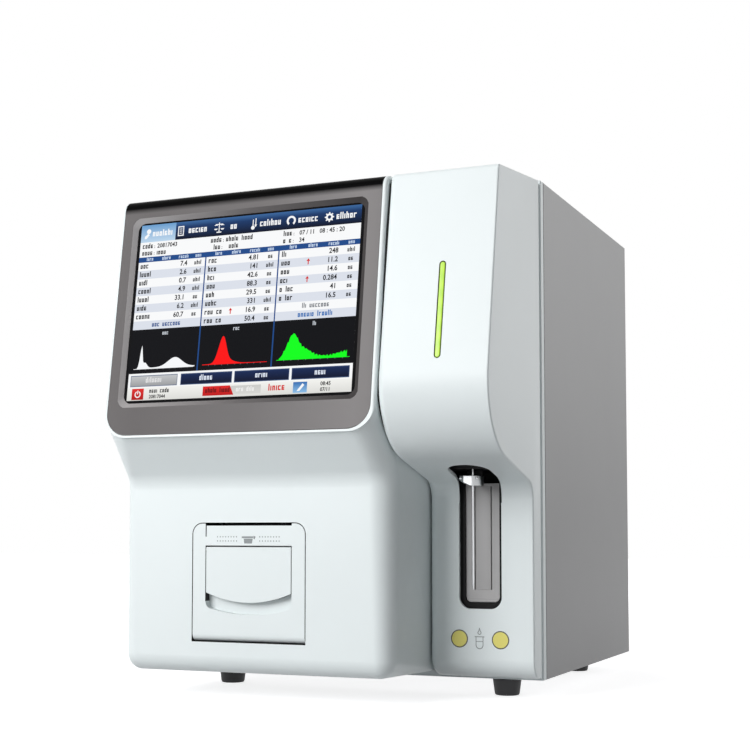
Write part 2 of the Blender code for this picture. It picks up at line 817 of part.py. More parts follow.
def make_bulkhead():
    left = X_LEFT + CASE_INSET
    right = X_RIGHT - CASE_INSET
    top = Z_TOP - BULKHEAD_TOP_DROP
    wall = case_box(
        "inner_bulkhead", left, right, Y_BULKHEAD, Y_BULKHEAD + PANEL_THICKNESS, Z_FLOOR, top, STEEL
    )
    middle = X_RIGHT - BOARD_FROM_RIGHT
    for x in (middle - BOARD_WIDTH / 2 + BOARD_INSET, middle + BOARD_WIDTH / 2 - BOARD_INSET):
        for z in (Z_CASE + BOARD_BOTTOM + BOARD_INSET, Z_CASE + BOARD_BOTTOM + BOARD_HEIGHT - BOARD_INSET):
            start = Y_BULKHEAD + JOIN_OVERLAP
            end = Y_BULKHEAD + PANEL_THICKNESS + STANDOFF_LENGTH
            fuse(wall, rod("boss", "Y", (x, 0, z), STANDOFF_RADIUS, start, end, sides=SMALL_SIDES))


# Front covers


def tower_corners():
    """Side profile of the tower (y, z, radius, left edge, right edge), from its rear bottom forwards."""
    sole = Z_CASE + TOWER_BOTTOM
    crook = Z_CASE + UNDERSIDE_HEIGHT
    slopes = TOWER_SLOPE * UNDERSIDE_SLOPE
    nose_y = (face_y(TOWER_FACE, crook) + slopes * Y_RECESS) / (1 + slopes)
    nose_z = crook - UNDERSIDE_SLOPE * (nose_y - Y_RECESS)
    edges = (TOWER_LEFT_EDGE, TOWER_RIGHT_EDGE)
    return [
        (Y_COVER, sole, 0, 0, 0),
        (Y_RECESS, sole, TOWER_SOLE_RADIUS, *edges),
        (Y_RECESS, crook, TOWER_CROOK_RADIUS, *edges),
        (nose_y, nose_z, TOWER_NOSE_RADIUS, *edges),
        (*face_top(TOWER_FACE), TOWER_TOP_RADIUS, TOWER_TOP_RADIUS, TOWER_RIGHT_EDGE),
        (Y_COVER, Z_COVER, 0, 0, 0),
    ]


def slot_outline(grow, top):
    half = SLOT_WIDTH / 2 + grow
    low = Z_CASE + SLOT_BOTTOM - grow
    corner = SLOT_CORNER + grow
    return outline_of(
        [
            (X_SLOT - half, low, corner),
            (X_SLOT + half, low, corner),
            (X_SLOT + half, top, 0),
            (X_SLOT - half, top, 0),
        ],
    )


def light_area(grow):
    """Lowest and highest corner (x, up the tower's face) of the light bar, grown all round.

    It starts where the nose's curve ends and takes its share of the flat face above.
    """
    half = LIGHT_WIDTH / 2 + grow
    x = X_RIGHT - LIGHT_FROM_RIGHT
    low = TOWER_NOSE_RADIUS * LIGHT_FOOT_SHARE
    high = low + (face_up(TOWER_FACE, face_top(TOWER_FACE)[1]) - low) * LIGHT_LENGTH_SHARE
    return (x - half, low - grow), (x + half, high + grow)


def light_outline(grow):
    low, high = light_area(grow)
    return outline_of(round_box(low, high, (high[0] - low[0]) / 2))


def make_tower_cover():
    corners = tower_corners()
    tower = pillow("tower_cover", corners, X_TOWER, X_RIGHT, finish_of(WHITE))
    walls = [COVER_WALL] * (len(corners) - 1) + [-CUT_OVERRUN]
    cut(tower, pillow("cutter", inset(corners, walls), X_TOWER + COVER_WALL, X_RIGHT - COVER_WALL))
    sill = Z_CASE + UNDERSIDE_HEIGHT - MOUTH_DROP
    cut(
        tower,
        prism(
            "cutter",
            slot_outline(0, sill + JOIN_OVERLAP),
            "Y",
            Y_RECESS - CUT_OVERRUN,
            Y_COVER - COVER_WALL,
        ),
    )
    half = SLOT_WIDTH / 2
    front = Y_SEAM - MOUTH_REACH
    neck = Y_SEAM - MOUTH_NECK_REACH
    back = Y_RECESS + COVER_WALL
    mouth = [
        (X_SLOT - half, back + JOIN_OVERLAP, 0),
        (X_SLOT - half, back, 0),
        (X_SLOT - MOUTH_LEFT, neck, MOUTH_CORNER),
        (X_SLOT - MOUTH_LEFT, front, MOUTH_CORNER),
        (X_SLOT + MOUTH_RIGHT, front, MOUTH_CORNER),
        (X_SLOT + MOUTH_RIGHT, neck, MOUTH_CORNER),
        (X_SLOT + half, back, 0),
        (X_SLOT + half, back + JOIN_OVERLAP, 0),
    ]
    cut(tower, prism("cutter", outline_of(mouth), "Z", sill, Z_CASE + UNDERSIDE_HEIGHT + MOUTH_HEIGHT))
    cut(tower, on_face("cutter", TOWER_FACE, light_outline(0), -CUT_OVERRUN, CUT_OVERRUN))


def head_x():
    return X_LEFT, X_HEAD


def bezel_outline(grow):
    left = X_LEFT + RIM_LEFT - grow
    right = X_HEAD - RIM_RIGHT + grow
    low = RIM_BOTTOM - grow
    high = face_height() * 2
    corner = RIM_CORNER - RIM_BOTTOM + grow
    return outline_of([(left, low, corner), (right, low, corner), (right, high, 0), (left, high, 0)])


def face_height():
    """Length of the head's tilted face from the rim's lower edge to the corner with the top."""
    return face_up(HEAD_FACE, face_top(HEAD_FACE)[1])


def head_skin(depth_front, depth_back, back_y, edge=0.0):
    """Side profile of a skin that follows the head's face and bends back over its top."""
    return [
        (*face_place(HEAD_FACE, 0, depth_back), 0, 0, 0),
        (*face_place(HEAD_FACE, 0, depth_front), 0, edge, edge),
        (*face_top(HEAD_FACE, depth_front), HEAD_TOP_RADIUS - depth_front, edge, edge),
        (back_y, top_z(back_y) - depth_front, 0, edge, edge),
        (back_y, top_z(back_y) - depth_back, 0, 0, 0),
        (*face_top(HEAD_FACE, depth_back), HEAD_TOP_RADIUS - depth_back, 0, 0),
    ]


def bezel_solid(name, grow, depth_front, depth_back, finish=None):
    """The bezel's shape: the head's skin between two depths, trimmed to the bezel's rounded outline."""
    back_y = face_top(HEAD_FACE)[0] + BEZEL_RETURN + grow
    side = outline_of(head_skin(depth_front, depth_back, back_y), FINE_ARC_STEP)
    skin = shade_round(prism(name, side, "X", X_LEFT, X_HEAD, finish))
    common(skin, on_face("trim", HEAD_FACE, bezel_outline(grow), depth_front - CUT_OVERRUN, FRONT_REACH))
    left = X_LEFT + RIM_LEFT - grow
    right = X_HEAD - RIM_RIGHT + grow
    front = Y_FRONT - BEZEL_RETURN
    plan = [
        (left, front, 0),
        (right, front, 0),
        (right, back_y, BEZEL_REAR_CORNER),
        (left, back_y, BEZEL_REAR_CORNER),
    ]
    common(skin, prism("trim", outline_of(plan), "Z", Z_RIM - CUT_OVERRUN, Z_TOP))
    return skin


def window_outline(margin):
    """The bezel's window; a positive margin makes it smaller."""
    left = X_LEFT + RIM_LEFT + BEZEL_LEFT + margin
    right = X_HEAD - RIM_RIGHT - BEZEL_RIGHT - margin
    low = BEZEL_BOTTOM + margin
    high = face_height() - BEZEL_TOP - margin
    return outline_of(round_box((left, low), (right, high), BEZEL_WINDOW_CORNER))


def face_way():
    """The way up along the head's face in (y, z)."""
    tilt = math.atan(HEAD_SLOPE)
    return math.sin(tilt), math.cos(tilt)


def make_main_cover():
    sole = Z_CASE + BODY_BOTTOM
    corners = [
        (Y_COVER, sole, 0, 0, 0),
        (Y_BODY, sole, BODY_SOLE_RADIUS, BODY_LEFT_EDGE, BODY_SOLE_RADIUS),
        (Y_BODY, Z_CASE + KNEE_HEIGHT, KNEE_RADIUS, BODY_LEFT_EDGE, BODY_RIGHT_EDGE),
        (*face_place(HEAD_FACE, 0, RIM_RISE), 0, RIM_CORNER, RIM_CORNER, face_way()),
        (*face_top(HEAD_FACE, RIM_RISE), HEAD_TOP_RADIUS, HEAD_EDGE, HEAD_EDGE),
        (Y_COVER, Z_COVER - RIM_RISE, 0, 0, 0),
    ]
    left, right = head_x()
    cover = pillow("main_cover", corners, left, right, finish_of(WHITE))
    rim = pillow("rim", head_skin(0, RIM_RISE + JOIN_OVERLAP, Y_COVER, RIM_EDGE), left, right)
    high = face_height() * 2
    rim_outline = outline_of(
        [(left, 0, RIM_CORNER), (right, 0, RIM_CORNER), (right, high, 0), (left, high, 0)]
    )
    common(rim, on_face("trim", HEAD_FACE, rim_outline, -CUT_OVERRUN, FRONT_REACH))
    fuse(cover, rim)
    walls = [COVER_WALL, COVER_WALL, COVER_WALL, COVER_WALL + SEAT_GAP, COVER_WALL, -CUT_OVERRUN]
    cut(cover, pillow("cutter", inset(corners, walls), left + COVER_WALL, right - COVER_WALL))
    cut(cover, bezel_solid("cutter", SEAT_GAP, -CUT_OVERRUN, BEZEL_THICKNESS + SEAT_GAP))
    cut(
        cover,
        on_face("cutter", HEAD_FACE, window_outline(-GLASS_LAP - LCD_LAP), -CUT_OVERRUN, HEAD_TOP_RADIUS),
    )
    cut(
        cover,
        prism(
            "cutter", outline_of(door_corners(DOOR_GAP)), "Y", Y_BODY - CUT_OVERRUN, Y_BODY + CUT_OVERRUN
        ),
    )


def make_screen():
    bezel = bezel_solid("screen_bezel", 0, 0, BEZEL_THICKNESS, finish_of(BEZEL_GREY))
    wide = face_ring(HEAD_FACE, window_outline(-BEZEL_SLANT), -BEZEL_THICKNESS)
    narrow = face_ring(HEAD_FACE, window_outline(BEZEL_SLANT), BEZEL_THICKNESS)
    through = face_ring(HEAD_FACE, window_outline(BEZEL_SLANT), BEZEL_THICKNESS * 2)
    cut(bezel, lofted("cutter", [wide, narrow, through]))
    front = BEZEL_THICKNESS + SEAT_GAP
    back = front + GLASS_THICKNESS
    on_face("touch_glass", HEAD_FACE, window_outline(-GLASS_LAP), front, back, finish_of(SCREEN))
    front = back + SEAT_GAP
    back = front + LCD_THICKNESS
    on_face("lcd_module", HEAD_FACE, window_outline(-LCD_LAP), front, back, finish_of(STEEL))
    front = back + SEAT_GAP
    back = front + BRACKET_THICKNESS
    lap = GLASS_LAP + LCD_LAP + BRACKET_LAP
    bracket = on_face("display_bracket", HEAD_FACE, window_outline(-lap), front, back, finish_of(STEEL))
    cover_back = RIM_RISE + COVER_WALL + SEAT_GAP * 2
    outline = window_outline(-lap + BRACKET_BOSS_RADIUS)
    lefts = min(point[0] for point in outline)
    rights = max(point[0] for point in outline)
    lows = min(point[1] for point in outline) + BRACKET_BOSS_INSET
    highs = max(point[1] for point in outline) - BRACKET_BOSS_INSET
    for x in (lefts, rights):
        for up in (lows, highs):
            size = BRACKET_BOSS_RADIUS
            post = outline_of(round_box((x - size, up - size), (x + size, up + size), size / 2))
            fuse(bracket, on_face("boss", HEAD_FACE, post, cover_back, back - BRACKET_THICKNESS / 2))


# Light bar


def make_light_bar():
    lens_back = COVER_WALL + SEAT_GAP * 2
    lens = on_face("light_bar", TOWER_FACE, light_outline(-SEAT_GAP), 0, lens_back, finish_of(GREEN_LENS))
    flange_front = COVER_WALL + SEAT_GAP
    flange_back = flange_front + LIGHT_FLANGE_THICKNESS
    fuse(lens, on_face("flange", TOWER_FACE, light_outline(LIGHT_FLANGE), flange_front, flange_back))
    low, high = light_area(LED_BOARD_MARGIN)
    board_front = flange_back + LED_RISE + SEAT_GAP
    board_back = board_front + LED_BOARD_THICKNESS
    outline = [low, (high[0], low[1]), high, (low[0], high[1])]
    board = on_face("led_board", TOWER_FACE, outline, board_front, board_back, finish_of(BOARD_GREEN))
    x = (low[0] + high[0]) / 2
    for index in range(LED_COUNT):
        up = low[1] + (high[1] - low[1]) * (index + 0.5) / LED_COUNT
        size = LED_SIZE / 2
        led = [(x - size, up - size), (x + size, up - size), (x + size, up + size), (x - size, up + size)]
        led_back = board_front + LED_BOARD_THICKNESS / 2
        fuse(board, on_face("led", TOWER_FACE, led, flange_back + SEAT_GAP, led_back))


# Sampling slot


def make_slot():
    top = Z_CASE + LINER_TOP
    front = Y_RECESS + COVER_WALL + SEAT_GAP
    back = Y_SEAM - LINER_BACK
    flange_front = Y_RECESS + LINER_SETBACK
    plate_front = flange_front + LINER_FLANGE + SEAT_GAP
    plate_back = plate_front + PLATE_THICKNESS
    liner = prism(
        "slot_liner", slot_outline(SEAT_GAP + LINER_WALL, top), "Y", front, back, finish_of(BLACK)
    )
    hollow = slot_outline(SEAT_GAP, top + CUT_OVERRUN)
    cut(liner, prism("cutter", hollow, "Y", front - CUT_OVERRUN, flange_front))
    cut(liner, prism("cutter", hollow, "Y", flange_front + LINER_FLANGE, back + CUT_OVERRUN))
    half = SLOT_WIDTH / 2 - LINER_SIDE_MARGIN
    low = Z_CASE + SLOT_BOTTOM + LINER_BOTTOM_MARGIN
    high = top + CUT_OVERRUN
    view = [
        (X_SLOT - half, low, LINER_CORNER),
        (X_SLOT + half, low, LINER_CORNER),
        (X_SLOT + half, high, 0),
        (X_SLOT - half, high, 0),
    ]
    cut(liner, prism("cutter", outline_of(view), "Y", front - CUT_OVERRUN, back + CUT_OVERRUN))
    half = SLOT_WIDTH / 2 + LINER_WALL / 2
    low = (X_SLOT - half, back - LINER_BAR_THICKNESS, Z_CASE + LINER_BAR_BOTTOM)
    fuse(liner, helper_box(low, (X_SLOT + half, back, Z_CASE + LINER_BAR_TOP)))
    plate_top = Z_CASE + KEY_TOP + SEAT_GAP + PLATE_THICKNESS
    plate = prism(
        "slot_plate", slot_outline(0, plate_top), "Y", plate_front, plate_back, finish_of(PLATE_GREY)
    )
    window = KEY_WIDTH / 2 + KEY_GROOVE
    low = (X_SLOT - window, plate_front - CUT_OVERRUN, Z_CASE + KEY_BOTTOM - SEAT_GAP)
    cut(plate, helper_box(low, (X_SLOT + window, plate_back + CUT_OVERRUN, Z_CASE + KEY_TOP + SEAT_GAP)))
    left = X_SLOT - KEY_WIDTH / 2
    right = X_SLOT + KEY_WIDTH / 2
    key = case_box(
        "aspirate_key",
        left,
        right,
        plate_front,
        plate_back,
        Z_CASE + KEY_BOTTOM,
        Z_CASE + KEY_TOP,
        PLATE_GREY,
    )
    set_origin(key, (X_SLOT, plate_back, Z_CASE + KEY_BOTTOM))
    middle = Z_CASE + (LINER_BAR_BOTTOM + LINER_BAR_TOP) / 2
    case_box(
        "key_switch",
        X_SLOT - SWITCH_WIDTH / 2,
        X_SLOT + SWITCH_WIDTH / 2,
        plate_back + SWITCH_GAP,
        back - LINER_BAR_THICKNESS - SEAT_GAP,
        middle - SWITCH_HEIGHT / 2,
        middle + SWITCH_HEIGHT / 2,
        BLACK,
    )


# Probe lift


def probe_levels():
    plate_top = Z_CASE + PROBE_PLATE_HEIGHT + PROBE_PLATE_THICKNESS
    upper_low = Z_TOP - PROBE_TOP_DROP - PROBE_PLATE_THICKNESS
    return plate_top, upper_low


def make_probe_frame():
    plate_top, upper_low = probe_levels()
    left = X_SLOT - PROBE_PLATE_WIDTH / 2
    right = X_SLOT + PROBE_PLATE_WIDTH / 2
    y_back = Y_SEAM + PROBE_BACK
    wall = PROBE_PLATE_THICKNESS
    frame = case_box("probe_frame", left, right, y_back - wall, y_back, Z_FLOOR, upper_low + wall, STEEL)
    lower = (left, Y_SEAM - PROBE_PLATE_REACH, plate_top - wall)
    fuse(frame, helper_box(lower, (right, y_back - JOIN_OVERLAP, plate_top)))
    upper = (left, Y_SEAM - ROD_REACH - PROBE_MOTOR_SIZE / 2, upper_low)
    fuse(frame, helper_box(upper, (right, y_back - JOIN_OVERLAP, upper_low + wall)))
    y = Y_SEAM - ROD_REACH
    hole = SCREW_RADIUS + SEAT_GAP * 2
    cut(
        frame,
        rod("cutter", "Z", (X_SLOT, y, 0), hole, upper_low - wall, upper_low + wall * 2, sides=SMALL_SIDES),
    )
    y = Y_SEAM - PROBE_REACH
    hole = PROBE_RADIUS * 2
    cut(
        frame,
        rod("cutter", "Z", (X_SLOT, y, 0), hole, plate_top - wall * 2, plate_top + wall, sides=SMALL_SIDES),
    )


def make_probe_drive():
    plate_top, upper_low = probe_levels()
    y = Y_SEAM - ROD_REACH
    start = plate_top + SEAT_GAP
    end = upper_low - SEAT_GAP
    for name, x in (("guide_rod_left", X_SLOT - ROD_SPREAD), ("guide_rod_right", X_SLOT + ROD_SPREAD)):
        rod(name, "Z", (x, y, 0), ROD_RADIUS, start, end, finish_of(BRIGHT), SMALL_SIDES)
    screw_top = upper_low + PROBE_PLATE_THICKNESS
    profile = [(0, start), (SCREW_ROOT_RADIUS, start), (SCREW_ROOT_RADIUS, start + SEAT_GAP * 2)]
    profile += [(SCREW_RADIUS, start + SEAT_GAP * 4), (SCREW_RADIUS, screw_top - SCREW_FLAT_LENGTH)]
    profile += [
        (SCREW_ROOT_RADIUS, screw_top - SCREW_FLAT_LENGTH + SEAT_GAP),
        (SCREW_ROOT_RADIUS, screw_top),
        (0, screw_top),
    ]
    screw = turned("lead_screw", profile, "Z", (X_SLOT, y, 0), finish_of(STEEL), SMALL_SIDES)
    set_origin(screw, (X_SLOT, y, start))
    half = PROBE_MOTOR_SIZE / 2
    low = screw_top + SEAT_GAP
    corners = [
        (X_SLOT - half, y - half, PROBE_MOTOR_CHAMFER),
        (X_SLOT + half, y - half, PROBE_MOTOR_CHAMFER),
        (X_SLOT + half, y + half - ROD_RADIUS, PROBE_MOTOR_CHAMFER),
        (X_SLOT - half, y + half - ROD_RADIUS, PROBE_MOTOR_CHAMFER),
    ]
    prism(
        "probe_motor",
        outline_of(corners, ARC_STEP * 2),
        "Z",
        low,
        low + PROBE_MOTOR_HEIGHT,
        finish_of(BLACK),
    )


def make_carriage():
    y = Y_SEAM - ROD_REACH
    near = Y_SEAM - CARRIAGE_NEAR
    low = Z_CASE + CARRIAGE_BOTTOM
    high = low + CARRIAGE_HEIGHT
    half = CARRIAGE_WIDTH / 2
    nose = CARRIAGE_NOSE_WIDTH / 2
    shoulder = y - (near - y)
    outline = outline_of(
        [
            (X_SLOT - half, near, ROD_RADIUS),
            (X_SLOT + half, near, ROD_RADIUS),
            (X_SLOT + half, shoulder, ROD_RADIUS),
            (X_SLOT + nose, shoulder - ROD_RADIUS, ROD_RADIUS),
            (X_SLOT + nose, Y_SEAM - CARRIAGE_REACH, ROD_RADIUS),
            (X_SLOT - nose, Y_SEAM - CARRIAGE_REACH, ROD_RADIUS),
            (X_SLOT - nose, shoulder - ROD_RADIUS, ROD_RADIUS),
            (X_SLOT - half, shoulder, ROD_RADIUS),
        ],
        ARC_STEP * 2,
    )
    carriage = prism("probe_carriage", outline, "Z", low, high, finish_of(BLACK))
    holes = [
        (X_SLOT - ROD_SPREAD, y, ROD_RADIUS),
        (X_SLOT + ROD_SPREAD, y, ROD_RADIUS),
        (X_SLOT, y, SCREW_RADIUS),
        (X_SLOT, Y_SEAM - PROBE_REACH, PROBE_RADIUS),
    ]
    for x, place, radius in holes:
        start = low - CUT_OVERRUN
        end = high + CUT_OVERRUN
        cut(
            carriage,
            rod("cutter", "Z", (x, place, 0), radius + CARRIAGE_SLIDE_GAP, start, end, sides=SMALL_SIDES),
        )
    set_origin(carriage, (X_SLOT, y, low))


def make_needle():
    tip = Z_CASE + PROBE_TIP_HEIGHT
    top = Z_CASE + CARRIAGE_BOTTOM + CARRIAGE_HEIGHT + SEAT_GAP
    profile = [
        (0, tip),
        (PROBE_TIP_RADIUS, tip),
        (PROBE_RADIUS, tip + PROBE_TIP_LENGTH),
        (PROBE_RADIUS, top),
        (PROBE_TAIL_RADIUS, top),
        (PROBE_TAIL_RADIUS, top + PROBE_TAIL_RADIUS),
        (PROBE_RADIUS, top + PROBE_TAIL_RADIUS),
        (PROBE_RADIUS, top + PROBE_TAIL),
        (0, top + PROBE_TAIL),
    ]
    centre = (X_SLOT, Y_SEAM - PROBE_REACH, 0)
    needle = turned("probe_needle", profile, "Z", centre, finish_of(BRIGHT), SMALL_SIDES)
    set_origin(needle, (X_SLOT, Y_SEAM - PROBE_REACH, tip))


def make_wipe_block():
    low = Z_CASE + WIPE_BOTTOM
    high = low + WIPE_HEIGHT
    y = Y_SEAM - PROBE_REACH
    front = y - WIPE_NOSE
    back = y + WIPE_TAIL
    outline = [
        (X_SLOT + WIPE_RIGHT, low),
        (X_SLOT + WIPE_RIGHT, high),
        (X_SLOT - WIPE_LEFT, high),
        (X_SLOT - WIPE_LEFT, high - WIPE_TONGUE),
        (X_SLOT, low),
    ]
    block = prism("wipe_block", outline, "Y", front, back, finish_of(ALUMINIUM))
    stem_low = (X_SLOT - WIPE_RIGHT + WIPE_EDGE, back - WIPE_STEM, high - WIPE_EDGE)
    stem_high = (
        X_SLOT + WIPE_RIGHT - WIPE_EDGE, back - WIPE_EDGE / 2, Z_CASE + PROBE_PLATE_HEIGHT - SEAT_GAP
    )
    fuse(block, helper_box(stem_low, stem_high))
    hole = PROBE_RADIUS + CARRIAGE_SLIDE_GAP
    cut(
        block,
        rod("cutter", "Z", (X_SLOT, y, 0), hole, low - CUT_OVERRUN, high + CUT_OVERRUN, sides=SMALL_SIDES),
    )


# Printer


def door_corners(grow):
    half = DOOR_WIDTH / 2 + grow
    low = Z_CASE + DOOR_BOTTOM - grow
    high = Z_CASE + DOOR_BOTTOM + DOOR_HEIGHT + grow
    corner = DOOR_CORNER + grow
    return [
        (X_PRINTER - half, low, 0),
        (X_PRINTER + half, low, 0),
        (X_PRINTER + half, high, corner),
        (X_PRINTER - half, high, corner),
    ]


def hinge_place():
    """(y, z) of the door's hinge: its barrel is tangent to the door's front and to its lower edge."""
    return Y_BODY + DOOR_BARREL_RADIUS, Z_CASE + DOOR_BOTTOM + DOOR_BARREL_RADIUS


def sagging(grow, top, side_bottom, sag):
    """A window outline with a straight top and a lower edge that hangs in an arc."""
    half = DOOR_LIP_WIDTH / 2 + grow
    points = [(X_PRINTER + half, top), (X_PRINTER - half, top)]
    for step in range(SAG_STEPS + 1):
        across = 2 * step / SAG_STEPS - 1
        points.append((X_PRINTER + across * half, side_bottom - grow - sag * (1 - across * across)))
    return points


def make_printer_door():
    hinge_y, hinge_z = hinge_place()
    back = Y_BODY + DOOR_THICKNESS
    outline = outline_of(door_corners(0))
    door = prism("printer_door", outline, "Y", Y_BODY, Y_BODY + EAR_REACH, finish_of(WHITE))
    low = Z_CASE + DOOR_BOTTOM
    top = low + DOOR_HEIGHT
    radius = DOOR_BARREL_RADIUS
    side = outline_of(
        [
            (Y_BODY, low, radius),
            (Y_BODY + radius * 2, low, radius),
            (Y_BODY + radius * 2, hinge_z + radius, radius),
            (back, hinge_z + radius, 0),
            (back, top, 0),
            (Y_BODY, top, 0),
        ],
        FINE_ARC_STEP,
    )
    half = DOOR_WIDTH / 2
    common(door, prism("trim", side, "X", X_PRINTER - half - CUT_OVERRUN, X_PRINTER + half + CUT_OVERRUN))
    well_floor = Y_BODY + DISH_DEPTH
    wall = DISH_FLOOR + FLAP_PIN_LENGTH
    well = helper_box(
        (
            X_PRINTER - DOOR_LIP_WIDTH / 2 - wall,
            back - JOIN_OVERLAP,
            Z_CASE + DISH_SIDE_BOTTOM - DISH_SAG - DISH_FLOOR,
        ),
        (
            X_PRINTER + DOOR_LIP_WIDTH / 2 + wall,
            well_floor + DISH_FLOOR,
            Z_CASE + EAR_BOTTOM + JOIN_OVERLAP,
        ),
    )
    fuse(door, well)
    ear_x = PLATEN_WIDTH / 2 + SEAT_GAP * 2
    for sign in (-1, 1):
        xs = sorted((X_PRINTER + sign * ear_x, X_PRINTER + sign * (ear_x + EAR_THICKNESS)))
        ear_low = (xs[0], back - JOIN_OVERLAP, Z_CASE + EAR_BOTTOM)
        fuse(door, helper_box(ear_low, (xs[1], Y_BODY + EAR_REACH, Z_CASE + EAR_TOP)))
    dish = sagging(0, Z_CASE + FLAP_TOP, Z_CASE + DISH_SIDE_BOTTOM, DISH_SAG)
    cut(door, prism("cutter", dish, "Y", Y_BODY - CUT_OVERRUN, well_floor))
    slit_low = (X_PRINTER - DOOR_LIP_WIDTH / 2, Y_BODY - CUT_OVERRUN, top - PAPER_SLIT)
    cut(door, helper_box(slit_low, (X_PRINTER + DOOR_LIP_WIDTH / 2, back + CUT_OVERRUN, top + CUT_OVERRUN)))
    reach = X_PRINTER - half - CUT_OVERRUN, X_PRINTER + half + CUT_OVERRUN
    cut(
        door,
        rod("cutter", "X", (0, hinge_y, hinge_z), DOOR_PIN_RADIUS + SEAT_GAP, *reach, sides=SMALL_SIDES),
    )
    platen = (0, Y_BODY + PLATEN_SETBACK, Z_CASE + PLATEN_HEIGHT)
    cut(door, rod("cutter", "X", platen, PLATEN_SHAFT_RADIUS + SEAT_GAP, *reach, sides=SMALL_SIDES))
    flap_y, flap_z = flap_place()
    half = DOOR_LIP_WIDTH / 2 + FLAP_PIN_LENGTH
    hole = rod(
        "cutter",
        "X",
        (0, flap_y, flap_z),
        FLAP_PIN_RADIUS + SEAT_GAP,
        X_PRINTER - half,
        X_PRINTER + half,
        sides=SMALL_SIDES,
    )
    cut(door, hole)
    set_origin(door, (X_PRINTER, hinge_y, hinge_z))
    rod(
        "door_pin",
        "X",
        (0, hinge_y, hinge_z),
        DOOR_PIN_RADIUS,
        X_PRINTER - DOOR_WIDTH / 2 - DOOR_GAP - PRINTER_WALL,
        X_PRINTER + DOOR_WIDTH / 2 + DOOR_GAP + PRINTER_WALL,
        finish_of(BRIGHT),
        SMALL_SIDES,
    )


def flap_place():
    """(y, z) of the flap's pivot, in the thickness of the door's front."""
    return Y_BODY + FLAP_PIVOT_INSET, Z_CASE + FLAP_TOP - FLAP_PIVOT_DROP


def make_flap():
    top = Z_CASE + FLAP_TOP - FLAP_TOP_GAP
    outline = sagging(-FLAP_GAP, top, Z_CASE + FLAP_SIDE_BOTTOM, FLAP_SAG)
    flap = prism("latch_flap", outline, "Y", Y_BODY, Y_BODY + FLAP_THICKNESS, finish_of(WHITE))
    flap_y, flap_z = flap_place()
    half = DOOR_LIP_WIDTH / 2 + FLAP_PIN_LENGTH - SEAT_GAP
    fuse(
        flap,
        rod(
            "pin",
            "X",
            (0, flap_y, flap_z),
            FLAP_PIN_RADIUS,
            X_PRINTER - half,
            X_PRINTER + half,
            sides=SMALL_SIDES,
        ),
    )
    set_origin(flap, (X_PRINTER, flap_y, flap_z))


def make_printer_frame():
    half = DOOR_WIDTH / 2 + DOOR_GAP
    wall = PRINTER_WALL
    front = Y_BODY + COVER_WALL + SEAT_GAP
    back = front + PRINTER_DEPTH
    low = Z_CASE + PRINTER_FLOOR
    top = Z_CASE + PRINTER_TOP
    frame = case_box(
        "printer_frame", X_PRINTER - half - wall, X_PRINTER + half + wall, front, back, low, top, BLACK
    )
    cut(
        frame,
        helper_box(
            (X_PRINTER - half, front - CUT_OVERRUN, low + wall), (X_PRINTER + half, back - wall, top - wall)
        ),
    )
    head_front = Y_BODY + PLATEN_SETBACK + PLATEN_RADIUS
    roof = (X_PRINTER - half, front - CUT_OVERRUN, top - wall - CUT_OVERRUN)
    cut(frame, helper_box(roof, (X_PRINTER + half, head_front, top + CUT_OVERRUN)))
    hinge_y, hinge_z = hinge_place()
    reach = X_PRINTER - half - wall - CUT_OVERRUN, X_PRINTER + half + wall + CUT_OVERRUN
    cut(
        frame,
        rod("cutter", "X", (0, hinge_y, hinge_z), DOOR_PIN_RADIUS + SEAT_GAP, *reach, sides=SMALL_SIDES),
    )
    block = (X_PRINTER - HEAD_BLOCK_WIDTH / 2, head_front + SEAT_GAP, Z_CASE + HEAD_BLOCK_BOTTOM)
    block_high = (
        X_PRINTER + HEAD_BLOCK_WIDTH / 2, head_front + SEAT_GAP + HEAD_BLOCK_DEPTH, top - wall - SEAT_GAP
    )
    box("print_head", block, block_high, finish_of(ALUMINIUM), PANEL_EDGE_RADIUS)


def make_paper():
    y = Y_BODY + ROLL_SETBACK
    z = Z_CASE + ROLL_HEIGHT
    half = ROLL_WIDTH / 2
    profile = [
        (ROLL_CORE_RADIUS, -half), (ROLL_RADIUS, -half), (ROLL_RADIUS, half), (ROLL_CORE_RADIUS, half)
    ]
    roll = turned("paper_roll", profile, "X", (X_PRINTER, y, z), finish_of(PAPER))
    set_origin(roll, (X_PRINTER, y, z))
    half = DOOR_WIDTH / 2 + DOOR_GAP - SEAT_GAP
    rod(
        "paper_spindle",
        "X",
        (0, y, z),
        SPINDLE_RADIUS,
        X_PRINTER - half,
        X_PRINTER + half,
        finish_of(BLACK),
    )


